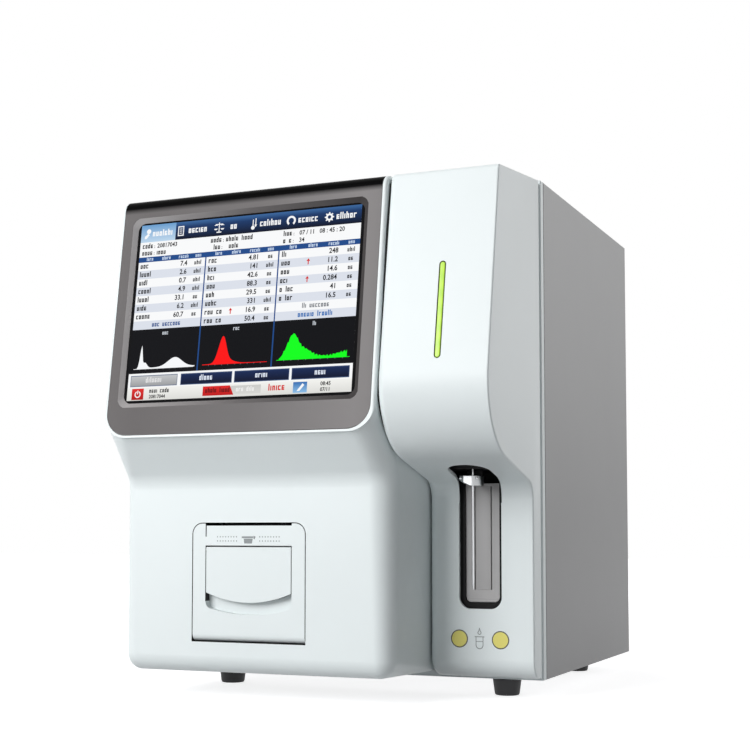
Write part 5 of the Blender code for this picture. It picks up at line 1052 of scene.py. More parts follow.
figures("20817044", 0.104, 0.99, 0.019, 2, ink_black)
plate([(0.352, 0.938), (0.352, 0.99), (0.492, 0.99), (0.474, 0.938)], 2, shade(222, 36, 34), shade(190, 20, 20))
word("uhole liood", 0.364, 0.973, 0.019, 3, shade(90, 10, 12))
bar(0.478, 0.941, 0.612, 0.987, 1.5, shade(205, 205, 202), shade(216, 216, 212))
word("ore dilu", 0.502, 0.973, 0.019, 2.5, shade(240, 240, 238))
word("linice", 0.645, 0.976, 0.026, 2, ink_red)
bar(0.752, 0.937, 0.812, 0.994, 2, shade(46, 108, 178), shade(140, 190, 232))
plate([(0.768, 0.985), (0.792, 0.945), (0.8, 0.954), (0.78, 0.985)], 3, ink_white)
figures("08:45", 0.868, 0.96, 0.02, 2, ink_black)
figures("07/11", 0.868, 0.99, 0.019, 2, ink_black)


def lit_ink(name):
    """What the lit display shows through its glass: the ink's own colour as light, under a smooth surface."""
    made = glassy(name, (0.003, 0.003, 0.004))
    tree, shader, place = insides(made)
    ink = add(tree, "ShaderNodeAttribute", attribute_name="ink")
    feed(shader, Emission_Color=ink, Emission_Strength=0.98)
    return made


picture_mesh = bpy.data.meshes.new("display_picture")
bmesh.ops.remove_doubles(picture, verts=picture.verts, dist=0.0005 * MM)
bmesh.ops.recalc_face_normals(picture, faces=picture.faces)
picture.to_mesh(picture_mesh)
picture.free()
display = mesh_object("display_picture", picture_mesh, lit_ink("lit_picture"))
fitted(display, "case")


# Light bar
# A clear green plastic lens in the tower's slit, with a domed face and a flange behind the wall. Six small
# diodes on a green board light it from behind.


def lit_lens(name):
    """Green plastic lit from behind, a little brighter where a diode stands."""
    made = moulded(name, shade(96, 124, 20), 0.3, grain=0.1, coat=0.1)
    tree, shader, place = insides(made)
    beads = add(tree, "ShaderNodeTexWave", place, bands_direction="Z", Scale=23.0, Distortion=0.0)
    glow = ramp(tree, beads.outputs["Fac"], [(0.0, shade(178, 232, 26)), (1.0, shade(200, 246, 48))])
    feed(shader, Emission_Color=glow, Emission_Strength=0.66)
    return made


lens_rings = []
for grow, depth in ((-1.7, 0.0), (-1.0, 0.1), (-0.5, 0.35), (-0.3, 0.8), (-0.3, 3.3), (2.0, 3.3), (2.0, 4.8)):
    outline = light_area(grow * MM)
    lens_rings.append([(x, *face_place(tower_face, up, depth * MM)) for x, up in outline])
lens = smooth(loft("light_lens", lens_rings, lit_lens("lit_green_lens")), 40)
lens_rim = moulded("lens_rim", shade(104, 128, 44), 0.3, grain=0.1)
tower_out = Vector((0, -1, tower_face[2])).normalized()
paint_faces(lens, lens_rim, lambda middle, normal: normal.dot(tower_out) < 0.97)
fitted(lens, "case", "light_bar")


# Sampling slot
# A black tray behind the keyhole, a grey plate in it and, between two grooves of the plate, the long key
# that the operator's tube pushes to start a sample. The tray and the plate are clipped in, the key rocks.


def refined(node, name, finish, body_name, width=0.4 * MM, segments=2):
    """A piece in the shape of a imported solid, with its faces merged and its edges rounded."""
    made = mesh_object(name, frame["nodes"][node].data.copy(), None)
    made.data.materials.clear()
    made.data.materials.append(finish)
    return fitted(edge_rounded(made, width, segments, 30), body_name, node)


black_moulding = moulded("black_moulding", shade(13, 13, 14), 0.5, grain=0.4, drift=0.15, specular=0.15)
refined("slot_liner", "slot_tray", black_moulding, "case", 0.5 * MM)

flange_front = tower_recess + 6 * MM
plate_front = flange_front + 2.3 * MM
plate_back = plate_front + 2.5 * MM
key_low = case_bottom + 77 * MM
key_high = case_bottom + 164 * MM
key_half = 13.6 * MM / 2
key_groove = 0.9 * MM
grey_moulding = moulded("grey_moulding", shade(192, 190, 190), 0.38, grain=0.3, drift=0.02)
plate_top = key_high + 2.8 * MM
plate_outline = round_bottomed(slot_half, slot_low, plate_top, 10 * MM)
key_plate = extruded("key_plate", plate_outline, "Y", plate_front, plate_back, grey_moulding)
window = key_half + key_groove
low = (slot_x - window, plate_front - overshoot, key_low - seat_gap)
cut(key_plate, block("cutter", low, (slot_x + window, plate_back + overshoot, key_high + seat_gap)))
settle(key_plate)
rim_outline = round_bottomed(slot_half - 4.1 * MM, slot_low + 5.6 * MM, key_high + 4 * MM, 4.6 * MM)
rim = extruded("rim", rim_outline, "Y", plate_front - 1.4 * MM, plate_front + 0.4 * MM)
low = (slot_x - slot_half, plate_front - overshoot, slot_low + 8 * MM)
cut(rim, block("cutter", low, (slot_x + slot_half, plate_back, plate_top + overshoot)))
settle(rim)
fuse(key_plate, rim)
edge_rounded(key_plate, 0.35 * MM, 3)
fitted(key_plate, "case", "slot_plate")

key_play = 0.27 * MM
key_foot = (slot_x - key_half, plate_front, key_low - key_play)
key_head = (slot_x + key_half, plate_back, key_high + key_play)
key = bevel_solid("long_key", key_foot, key_head, 0.12 * MM, grey_moulding)
fitted(key, "key", "aspirate_key")


# Round stickers and tube mark
# Two plain yellow discs of printed film with a dark rim, and between them a small grey pad print of a tube
# under a drop, on the tower below the slot.

sticker_skin = tower_recess - 0.01 * MM


def printed(name, colour):
    return moulded(name, colour, 0.35, grain=0.12, grain_size=0.3 * MM, drift=0.04)


def disc_on(name, middle, radius, proud, finish):
    """A thin round film on the recess, with a softened edge."""
    profile = [(0, 0), (radius, 0), (radius, -proud * 0.6), (radius - proud * 0.5, -proud), (0, -proud)]
    return turned(name, profile, "Y", (middle[0], sticker_skin, middle[1]), finish, 48)


sticker_rim = printed("sticker_rim", shade(60, 60, 58))
sticker_yellow = printed("sticker_yellow", shade(232, 222, 116))
for side, middle in (("left", (107.0 * MM, 50.6 * MM)), ("right", (143.4 * MM, 50.2 * MM))):
    for part, radius, proud, finish in (("rim", 7.6, 0.1, sticker_rim), ("face", 6.7, 0.14, sticker_yellow)):
        film = disc_on(f"sticker_{part}_{side}", middle, radius * MM, proud * MM, finish)
        fitted(film, "case")

mark_x = 124.9 * MM
mark_low = 42.5 * MM
mark_ink = printed("mark_ink", shade(140, 144, 146))
mark = bmesh.new()


def stroke_on(points, width):
    """A printed line through points (across, up) from the mark's foot, as one closed strip for each stretch."""
    for (x0, z0), (x1, z1) in zip(points, points[1:]):
        along = Vector((x1 - x0, z1 - z0)).normalized() * width / 2
        side = Vector((-along.y, along.x))
        start = Vector((mark_x + x0, mark_low + z0)) - along
        end = Vector((mark_x + x1, mark_low + z1)) + along
        corners = (start + side, start - side, end - side, end + side)
        front = [mark.verts.new((c.x, sticker_skin - 0.05 * MM, c.y)) for c in corners]
        back = [mark.verts.new((c.x, sticker_skin, c.y)) for c in corners]
        mark.faces.new(front)
        mark.faces.new(back[::-1])
        for index in range(4):
            after = (index + 1) % 4
            mark.faces.new((front[index], back[index], back[after], front[after]))


tube_half = 3.1 * MM
tube_round = [math.radians(180 + 20 * step) for step in range(10)]
tube_bend = [(tube_half * math.cos(a), tube_half + tube_half * math.sin(a)) for a in tube_round]
drop_half = 1.4 * MM
drop_turn = [math.radians(120 + 30 * step) for step in range(11)]
drop_bend = [(drop_half * math.cos(a), 13.4 * MM + drop_half * math.sin(a)) for a in drop_turn]
stroke_on([(-tube_half, 10 * MM), *tube_bend, (tube_half, 10 * MM)], 0.6 * MM)
stroke_on([(-tube_half * 1.3, 10 * MM), (tube_half * 1.3, 10 * MM)], 0.6 * MM)
stroke_on([(-tube_half, 6 * MM), (tube_half, 6 * MM)], 0.5 * MM)
stroke_on([(0, 17.2 * MM), *drop_bend, (0, 17.2 * MM)], 0.5 * MM)
tube_mark = mesh_object("tube_mark", mesh_from(mark, "tube_mark"), mark_ink)
fitted(tube_mark, "case")


# Needle and wipe block
# The sampling needle is a ground stainless tube with a closed conical tip and a swaged collar. It runs
# through a bright aluminium wipe block that rinses it, pressed on a stem under the lift's lower plate.


def metal(name, colour, roughness, streak=(1, 1, 0.03), depth=0.3, scale=900.0, drift=0.05):
    """Worked metal: fine tool marks drawn out along one axis, and faint handling marks in the gloss."""
    made, shader, place = new_material(name)
    feed(shader, Metallic=1.0)
    marks = noise(made.node_tree, add(made.node_tree, "ShaderNodeMapping", place, Scale=streak), scale, 4.0)
    cloud = noise(made.node_tree, place, 30.0, 5.0)
    gloss_range = (max(roughness - 0.08, 0.05), roughness + 0.12)
    surfaced(shader, marks, 0.75, colour, drift, cloud, gloss_range, marks, depth, 0.01 * MM)
    return made


def rod(name, axis, centre, radius, start, end, finish=None, edge=0.0, sides=24):
    """A round bar along an axis, with both ends chamfered if it has an edge."""
    profile = [(0, start), (radius - edge, start), (radius, start + edge)]
    profile += [(radius, end - edge), (radius - edge, end), (0, end)]
    if not edge:
        profile = [profile[0], profile[1], profile[4], profile[5]]
    return turned(name, profile, axis, centre, finish, sides)


ground_steel = metal("ground_steel", (0.56, 0.57, 0.58), 0.2)
needle_y = seam - 53.7 * MM
needle_tip = case_bottom + 77.5 * MM
needle_profile = mm(
    (0, 0), (0.32, 0.0), (0.46, 0.25), (0.6, 1.6), (0.86, 3.8), (1.0, 5.2), (1.0, 137.8), (1.55, 137.8), (1.8, 138.1),
    (1.8, 139.3), (1.55, 139.6), (1.0, 139.6), (1.0, 151.5), (0.8, 151.8), (0.45, 151.8), (0.45, 146.0), (0, 146.0),
)
needle = turned("sampling_needle", needle_profile, "Z", (slot_x, needle_y, needle_tip), ground_steel, 24)
fitted(needle, "probe", "probe_needle")

milled_aluminium = metal("milled_aluminium", (0.5, 0.51, 0.52), 0.28, (1, 1, 0.04), 0.25, 700.0)
wipe_low = case_bottom + 164 * MM
wipe_high = wipe_low + 8.4 * MM
wipe_right = slot_x + 7.6 * MM
wipe_left = slot_x - 10.4 * MM
wipe_front = needle_y - 7 * MM
wipe_back = needle_y + 9 * MM
wipe_side = [
    (wipe_right, wipe_low), (wipe_right, wipe_high), (wipe_left, wipe_high), (wipe_left, wipe_high - 4 * MM),
    (slot_x, wipe_low),
]
wipe = extruded("wipe_block_body", wipe_side, "Y", wipe_front, wipe_back, milled_aluminium)
wipe_plan = [
    (wipe_left, wipe_front + 2 * MM, 2 * MM), (slot_x - 6 * MM, wipe_front, 3 * MM), (wipe_right, wipe_front, 7 * MM),
    (wipe_right, wipe_back, 3 * MM), (wipe_left, wipe_back, 2 * MM),
]
common(wipe, extruded("trim", outline_of(wipe_plan), "Z", wipe_low - 1 * MM, wipe_high + 1 * MM))
cut(wipe, rod("cutter", "Z", (slot_x, needle_y, wipe_low), 1.3 * MM, -1 * MM, 10 * MM))
edge_rounded(wipe, 0.5 * MM, 3)
fitted(wipe, "case", "wipe_block")
stem_low = (slot_x - 6.8 * MM, wipe_back - 4 * MM, wipe_high)
stem_high = (slot_x + 6.8 * MM, wipe_back - 0.4 * MM, case_bottom + 177.7 * MM)
stem = bevel_solid("wipe_stem", stem_low, stem_high, 0.4 * MM, black_moulding)
fitted(stem, "case")

dome = mm((0, 0), (1.1, 0), (1.1, -0.3), (0.9, -0.62), (0.5, -0.8), (0, -0.86))
for side, x in (("left", wipe_left + 1.9 * MM), ("right", wipe_right - 1.7 * MM)):
    centre = (x, wipe_front + 0.02 * MM, wipe_high - 2.1 * MM)
    stud = turned(f"wipe_stud_{side}", dome, "Y", centre, ground_steel, 24)
    fitted(stud, "case")


# Needle lift
# A black powder-coated bracket carries two ground rods and a four-start lead screw; its black also stands in as
# painted shade for the dark inside of the tower seen up through the keyhole. A stepper motor on top turns the screw,
# which raises a black acetal carriage with the needle clamped in its nose.

# The bracket's black is partly painted shade for the dark inside of the tower.
bracket_black_and_shade = shade(22, 22, 24)
bracket_paint = moulded("bracket_paint", bracket_black_and_shade, 0.55, 0.7, 0.5 * MM, drift=0.2, specular=0.25)
acetal = moulded("black_acetal", shade(26, 26, 28), 0.34, grain=0.2, drift=0.1)
refined("probe_frame", "lift_bracket", bracket_paint, "case")
refined("probe_carriage", "lift_carriage", acetal, "probe", 0.5 * MM)
lift_low = case_bottom + 181.3 * MM
lift_high = case_top - 44.3 * MM
rod_y = seam - 14 * MM
for side, x in (("left", slot_x - 15.5 * MM), ("right", slot_x + 15.5 * MM)):
    name = f"guide_rod_{side}"
    foot = (x, rod_y, lift_low)
    guide = rod(f"{name}_ground", "Z", foot, 3 * MM, 0, lift_high - lift_low, ground_steel, 0.5 * MM, 32)
    fitted(guide, "case", name)

screw_top = case_top - 41 * MM
screw_starts = 4
screw_lead = 20 * MM
screw_sides = 48
thread_end = screw_top - 12 * MM
thread_foot = lift_low + 1.2 * MM
core_radius = 3.4 * MM
thread_height = 0.6 * MM
ring_count = 130


def screw_ring(along, height):
    """A ring round the screw, raised by the height where a thread passes."""
    ring = []
    for side in range(screw_sides):
        angle = math.tau * side / screw_sides
        phase = screw_starts * (angle - math.tau * along / screw_lead)
        radius = core_radius + height * min(max(0.5 + 1.6 * math.cos(phase), 0), 1)
        ring.append((slot_x + radius * math.cos(angle), rod_y + radius * math.sin(angle), along))
    return ring


screw_rings = [screw_ring(lift_low, 0)]
for step in range(ring_count + 1):
    screw_rings.append(screw_ring(thread_foot + (thread_end - thread_foot) * step / ring_count, thread_height))
screw_rings.append(screw_ring(screw_top, 0))
lead_screw = smooth(loft("lead_screw_threaded", screw_rings, ground_steel), 35)
fitted(lead_screw, "screw", "lead_screw")

motor_black = moulded("motor_black", shade(34, 34, 36), 0.3, grain=0.3, drift=0.1)
refined("probe_motor", "lift_motor", motor_black, "case", 0.6 * MM, 3)


# Printer door
# A white door that swings down on a pin along its lower edge. It has the paper slit at the top, a sagging
# finger dish behind its flap, and two ears at the back that carry the rubber platen.

hinge_y = body_front + 5.7 * MM
hinge_z = case_bottom + 39.3 * MM
lip_half = 81.6 * MM / 2
flap_top = case_bottom + 114.1 * MM
dish_side_low = case_bottom + 62.2 * MM
dish_sag = 5.9 * MM
door_back = body_front + 4 * MM
platen_y = body_front + 11.2 * MM
platen_z = case_bottom + 123 * MM
flap_y = body_front + 1.8 * MM
flap_z = flap_top - 3 * MM


def sagging(grow, top, side_low, sag, corner=0.0):
    """An outline with a straight top, rounded lower corners and a lower edge that hangs in an arc."""
    steps = 64
    half = lip_half + grow
    points = [(printer_middle + half, top), (printer_middle - half, top)]
    for step in range(steps + 1):
        across = 2 * step / steps - 1
        up = side_low - grow - sag * (1 - across * across)
        beyond = max(abs(across) * half - (half - corner), 0)
        points.append((printer_middle + across * half, up + corner - math.sqrt(max(corner**2 - beyond**2, 0))))
    return points


door = extruded("printer_door_cover", door_area(0, 4), "Y", body_front, body_front + 16 * MM, white_moulding)
barrel = 5.7 * MM
door_side = outline_of(
    [
        (body_front, door_low, barrel), (body_front + barrel * 2, door_low, barrel),
        (body_front + barrel * 2, hinge_z + barrel, barrel), (door_back, hinge_z + barrel, 0),
        (door_back, door_high, 0), (body_front, door_high, 0),
    ],
    8,
)
common(door, extruded("trim", door_side, "X", printer_middle - 0.1, printer_middle + 0.1))
settle(door)
well_low = (printer_middle - lip_half - 3.5 * MM, door_back - 0.2 * MM, dish_side_low - dish_sag - 1.5 * MM)
well_high = (printer_middle + lip_half + 3.5 * MM, body_front + 8.5 * MM, case_bottom + 115.6 * MM)
fuse(door, block("well", well_low, well_high))
for sign in (-1, 1):
    xs = sorted((printer_middle + sign * 29.6 * MM, printer_middle + sign * 32.6 * MM))
    low = (xs[0], door_back - 0.2 * MM, case_bottom + 115.4 * MM)
    fuse(door, block("ear", low, (xs[1], body_front + 16 * MM, case_bottom + 128 * MM)))
settle(door)
dish = sagging(0, flap_top, dish_side_low, dish_sag, 5 * MM)
cut(door, extruded("cutter", dish, "Y", body_front - overshoot, body_front + 7 * MM))
low = (printer_middle - lip_half, body_front - overshoot, door_high - 1.8 * MM)
cut(door, block("cutter", low, (printer_middle + lip_half, door_back + overshoot, door_high + overshoot)))
notch_low = (printer_middle - lip_half, body_front - overshoot, door_high - 11 * MM)
notch_high = (printer_middle - lip_half + 0.9 * MM, body_front + 0.9 * MM, door_high)
cut(door, block("cutter", notch_low, notch_high))
cut(door, rod("cutter", "X", (0, hinge_y, hinge_z), 1.5 * MM, -0.2, 0.2))
cut(door, rod("cutter", "X", (0, platen_y, platen_z), 2.3 * MM, -0.2, 0.2))
pivot_half = lip_half + 2 * MM
cut(door, rod("cutter", "X", (printer_middle, flap_y, flap_z), 1.1 * MM, -pivot_half, pivot_half))
edge_rounded(door, 0.4 * MM, 3, 35)


def in_split_line(middle, normal):
    """Faces inside the gaps round the door, round the flap and in the paper slit."""
    behind = body_front + 0.35 * MM < middle.y < body_front + 16 * MM
    outer = abs(abs(middle.x - printer_middle) - door_half) < 0.1 * MM or middle.z > door_high - 2.2 * MM
    notch = middle.x < printer_middle - lip_half + 0.75 * MM and middle.z > door_high - 11.2 * MM
    frame = middle.z > dish_side_low + 18 * MM and abs(abs(middle.x - printer_middle) - lip_half) < 0.1 * MM
    above = abs(middle.z - flap_top) < 0.1 * MM and abs(normal.z) > 0.5
    inner = abs(middle.x - printer_middle) < lip_half and notch
    return behind and (outer and abs(normal.y) < 0.5 or frame or above) or inner and middle.y > body_front


# The walls inside the door's gaps, round the flap, in the notch and in the paper slit are painted black as painted
# shade.
paint_faces(door, gap_black, in_split_line)
fitted(door, "door", "printer_door")

hinge_half = door_half + 2.5 * MM
hinge_pin = rod("hinge_pin", "X", (printer_middle, hinge_y, hinge_z), 1.2 * MM, -hinge_half, hinge_half, ground_steel)
fitted(hinge_pin, "case", "door_pin")


# Door flap
# The white latch flap, hinged on two moulded pins at its top. A finger reaches under its lower edge into
# the dish and pulls; a spring shuts it again.

flap = extruded(
    "door_flap", sagging(-0.6 * MM, flap_top - 1.2 * MM, case_bottom + 73.8 * MM, 8.2 * MM), "Y",
    body_front, body_front + 3.4 * MM, white_moulding,
)
pin_half = lip_half + 1.7 * MM
fuse(flap, rod("pin", "X", (printer_middle, flap_y, flap_z), 0.8 * MM, -pin_half, pin_half))
edge_rounded(flap, 0.4 * MM, 3, 35)
# The flap's side walls inside its gap are painted black as painted shade.
paint_faces(flap, gap_black, lambda middle, normal: abs(normal.y) < 0.5 and middle.y > body_front + 0.35 * MM)
fitted(flap, "flap", "latch_flap")


# Printed marks on the door
# A pad-printed roll of paper between two double rows of dots, in grey ink, under the paper slit.


def tree_of(name, **sizes):
    """An empty Geometry Nodes tree with named sizes, and what its inlet gives."""
    tree = bpy.data.node_groups.new(name, "GeometryNodeTree")
    tree.interface.new_socket("Geometry", in_out="INPUT", socket_type="NodeSocketGeometry")
    for label, value in sizes.items():
        kind = "NodeSocketInt" if isinstance(value, int) else "NodeSocketFloat"
        size = tree.interface.new_socket(label.replace("_", " "), in_out="INPUT", socket_type=kind)
        size.default_value = value
    tree.interface.new_socket("Geometry", in_out="OUTPUT", socket_type="NodeSocketGeometry")
    return tree, tree.nodes.new("NodeGroupInput").outputs


def moved(tree, piece, **how):
    return add(tree, "GeometryNodeTransform", piece, **how)


def spread(tree, sizes, piece, finish, **turn):
    """Ends a tree: the piece on each guide point, instances made real, one material on all of it."""
    instances = add(tree, "GeometryNodeInstanceOnPoints", sizes["Geometry"], Instance=piece, **turn)
    real = add(tree, "GeometryNodeRealizeInstances", instances)
    add(tree, "NodeGroupOutput", add(tree, "GeometryNodeSetMaterial", real, Material=finish))


def grown(name, tree, places, **sizes):
    """Runs a tree on guide points at these places and keeps the result as a plain mesh."""
    mesh = bpy.data.meshes.new("guide_points")
    mesh.from_pydata(places, [], [])
    made = modified(mesh_object(name, mesh, None), "NODES", node_group=tree)
    for socket in tree.interface.items_tree:
        label = socket.name.replace(" ", "_")
        if socket.item_type == "SOCKET" and socket.in_out == "INPUT" and label in sizes:
            made.modifiers[0][socket.identifier] = sizes[label]
    return settle(made)


door_ink = printed("door_ink", shade(138, 144, 146))
dots_tree, sizes = tree_of("printed_dots", Dot_Radius=0.5 * MM, Dot_Height=0.05 * MM)
dot = add(dots_tree, "GeometryNodeMeshCylinder", 10, Radius=sizes["Dot Radius"], Depth=sizes["Dot Height"])
spread(dots_tree, sizes, dot, door_ink, Rotation=(math.pi / 2, 0, 0))
dot_places = [
    (printer_middle + side * (11 + column * 2.6) * MM, body_front - 0.02 * MM, 133.0 * MM + row * 3.5 * MM)
    for side in (-1, 1) for row in range(2) for column in range(8)
]
dots = grown("door_dots", dots_tree, dot_places, Dot_Radius=0.55 * MM, Dot_Height=0.06 * MM)
fitted(dots, "door")

icon_middle = printer_middle + 0.2 * MM
icon = None
for corners in (
    [(-6.2, 136.9), (4.6, 136.9), (4.6, 135.4), (-6.2, 135.4)],
    [(4.9, 137.4), (7.0, 136.7), (5.9, 134.4), (4.9, 135.0)],
    [(-4.4, 135.0), (4.2, 135.0), (3.4, 130.9), (-3.8, 130.9)],
):
    outline = [(icon_middle + across, up) for across, up in mm(*corners)]
    part = extruded("roll_mark", outline, "Y", body_front - 0.05 * MM, body_front + 0.02 * MM, door_ink)
    icon = settle(fuse(icon, part)) if icon else part
fitted(icon, "door")


# Printer mechanism
# A black cradle behind the door holds the paper roll on its spindle. The roll feeds up between the heated
# print head and the rubber platen, which a gear on its right end turns.

refined("printer_frame", "printer_cradle", black_moulding, "case", 0.5 * MM)
head_black = metal("head_black", (0.03, 0.03, 0.032), 0.4, (0.05, 1, 1), 0.25, 500.0)
refined("print_head", "print_head_block", head_black, "case", 0.3 * MM)

soft_rubber = moulded("soft_rubber", shade(38, 38, 40), 0.6, grain=0.5, grain_size=0.3 * MM, drift=0.15)
platen_profile = mm(
    (0, -32.6), (1.6, -32.6), (2, -32.2), (2, -29), (4.6, -29), (5, -28.6),
    (5, 28.6), (4.6, 29), (2, 29), (2, 36.3), (1.6, 36.7), (0, 36.7),
)
platen = turned("rubber_platen", platen_profile, "X", (printer_middle, platen_y, platen_z), soft_rubber, 48)
fitted(platen, "platen", "platen_roller")
refined("platen_gear", "platen_gear_moulded", acetal, "platen", 0.15 * MM, 1)

roll_y = body_front + 38 * MM
roll_z = case_bottom + 74 * MM
roll_half = 57 * MM / 2
roll_core = 7 * MM
roll_edge = 24.5 * MM
roll_wound = 24.75 * MM
paper_step = 0.22 * MM
roll_chamfer = 0.2 * MM
turn_steps = 96


def wound_paper(name):
    """Thermal paper: bright, with its windings drawn as fine rings on the sides of the roll."""
    made = moulded(name, shade(244, 243, 240), 0.7, grain=0.2, grain_size=0.4 * MM, drift=0.02)
    tree, shader, place = insides(made)
    centre = add(tree, "ShaderNodeMapping", place, Location=(0, -roll_y, -roll_z))
    settings = {"wave_type": "RINGS", "rings_direction": "X", "Scale": 500.0, "Distortion": 1.5}
    rings = add(tree, "ShaderNodeTexWave", centre, **settings)
    tone = shader.inputs["Base Color"].links[0].from_socket
    feed(shader, Base_Color=mixed(tree, tone, ranged(tree, rings.outputs["Fac"], 0.86, 1.0)))
    return made


def roll_ring(radius, along, growth=0.0):
    """A ring about the roll's axis, whose radius grows by one winding if that is given."""
    ring = []
    for step in range(turn_steps):
        wound = radius + growth * step / turn_steps
        angle = math.tau * step / turn_steps
        ring.append((printer_middle + along, roll_y + wound * math.cos(angle), roll_z + wound * math.sin(angle)))
    return ring


roll_rings = [
    roll_ring(roll_core, -roll_half), roll_ring(roll_edge, -roll_half),
    roll_ring(roll_wound, roll_chamfer - roll_half, paper_step),
    roll_ring(roll_wound, roll_half - roll_chamfer, paper_step),
    roll_ring(roll_edge, roll_half), roll_ring(roll_core, roll_half),
]
roll = smooth(loft("receipt_roll", roll_rings, wound_paper("thermal_paper"), True), 30)
fitted(roll, "roll", "paper_roll")

spindle_half = door_half + 0.2 * MM
spindle_middle = (printer_middle, roll_y, roll_z)
spindle = rod("roll_spindle", "X", spindle_middle, 6.7 * MM, -spindle_half, spindle_half, acetal, 0.8 * MM, 48)
fitted(spindle, "case", "paper_spindle")


# Front frame
# A white painted frame between the front covers and the case, with a shallow groove that draws the dark line
# round the covers. The covers clip into it from the front.

refined("front_frame", "frame_strip", white_moulding, "case", 0.5 * MM)


# Side panels and top cover
# Folded steel sheets with a fine grey powder coat, hooked into the front frame and screwed on from behind.
# The coat is rubbed thin here and there along the outer edges.

case_grey = (0.196, 0.196, 0.2)
bare_grey = (0.31, 0.31, 0.31, 1)
wear_width = 1.3 * MM


def orange_peel(name):
    return moulded(name, case_grey, 0.42, grain=0.8, grain_size=1.1 * MM, drift=0.03)


def powder_coat(name, node, axes):
    """Powder coat with its orange peel, and paler patches near those edges of a node that lie across axes."""
    made = orange_peel(name)
    tree, shader, place = insides(made)
    parts = add(tree, "ShaderNodeSeparateXYZ", place).outputs

    def reckon(operation, *terms):
        return add(tree, "ShaderNodeMath", *terms, operation=operation)

    low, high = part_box(node)
    beyond = []
    for axis in axes:
        index = "XYZ".index(axis)
        across = reckon("ABSOLUTE", reckon("SUBTRACT", parts[axis], (low[index] + high[index]) / 2))
        beyond.append(reckon("SUBTRACT", across, (high[index] - low[index]) / 2))
    edge = ranged(tree, reckon("MAXIMUM", *beyond), start=-wear_width, stop=0.0)
    rubbed = ranged(tree, noise(tree, place, 55.0, 6.0), start=0.5, stop=0.66)
    tone = shader.inputs["Base Color"].links[0].from_socket
    feed(shader, Base_Color=mixed(tree, tone, bare_grey, reckon("MULTIPLY", edge, rubbed), "MIX"))
    return made


for node, name, axes in (
    ("side_panel_left", "left_side_sheet", "YZ"),
    ("side_panel_right", "right_side_sheet", "YZ"),
    ("top_cover", "top_sheet", "XY"),
):
    refined(node, name, powder_coat(f"{name}_coat", node, axes), "case", 0.5 * MM)


# Base tray and feet
# A tray of zinc-plated sheet steel under everything, and four turned rubber feet screwed to it.

plated_steel = metal("plated_steel", (0.5, 0.51, 0.52), 0.34, (0.05, 1, 1), 0.3, 260.0, 0.08)
refined("base_tray", "base_sheet", plated_steel, "case")

foot_profile = mm(
    (0, 1.2), (5, 1.2), (5.6, 0), (9.3, 0), (10.2, 0.3), (10.8, 1.4), (12.5, 14.1), (12, 14.7), (0, 14.7)
)
for corner in ("front_left", "front_right", "rear_left", "rear_right"):
    low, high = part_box(f"foot_{corner}")
    centre = ((low.x + high.x) / 2, (low.y + high.y) / 2, low.z)
    foot = turned(f"rubber_foot_{corner}", foot_profile, "Z", centre, soft_rubber, 64)
    fitted(foot, "case", f"foot_{corner}")


# Rear panel
# One painted sheet, set in from the rear edge of the case so that fittings don't stand out. It has the fan's
# outlet, cut-outs for every fitting, rows of pressed louvres, and pan-head screws along its edges.

panel_face = 214.75 * MM
refined("rear_panel", "rear_sheet", powder_coat("rear_coat", "rear_panel", "XZ"), "case", 0.3 * MM)

louvre_tree, sizes = tree_of("pressed_louvres", Length=34 * MM, Height=2.6 * MM, Proud=1.7 * MM)
hood = add(louvre_tree, "GeometryNodeMeshCylinder", 24, Radius=sizes["Height"], Depth=sizes["Length"])
lying = moved(louvre_tree, hood, Rotation=(0, math.pi / 2, 0))
flat_share = add(louvre_tree, "ShaderNodeMath", sizes["Proud"], sizes["Height"], operation="DIVIDE")
flatten = add(louvre_tree, "ShaderNodeCombineXYZ", 1.0, flat_share, 1.0)
pressed = moved(louvre_tree, lying, Scale=flatten)
under = add(louvre_tree, "GeometryNodeMeshCube", (0.2, 0.02, 0.01))
lower_half = moved(louvre_tree, under, Translation=(0, 0, -0.005))
open_below = add(louvre_tree, "GeometryNodeMeshBoolean", pressed, lower_half, operation="DIFFERENCE")
spread(louvre_tree, sizes, open_below, orange_peel("louvre_coat"))
louvre_places = [
    ((24 + 44 * column) * MM, panel_face, (276 + 9 * row) * MM) for column in range(3) for row in range(12)
]
louvres = grown("rear_louvres", louvre_tree, louvre_places, Length=36 * MM, Height=2.8 * MM, Proud=1.8 * MM)
fitted(louvres, "case")

# A thin black plate under each louvre: painted shade where the open louvre would show the dark inside of the case.
slit_tree, sizes = tree_of("louvre_slits", Length=34 * MM, Height=1.2 * MM)
slit_size = add(slit_tree, "ShaderNodeCombineXYZ", sizes["Length"], 0.4 * MM, sizes["Height"])
spread(slit_tree, sizes, add(slit_tree, "GeometryNodeMeshCube", slit_size), gap_black)
slit_places = [(x, y, z - 0.6 * MM) for x, y, z in louvre_places]
slits = grown("louvre_openings", slit_tree, slit_places, Length=34.5 * MM, Height=1.2 * MM)
fitted(slits, "case")

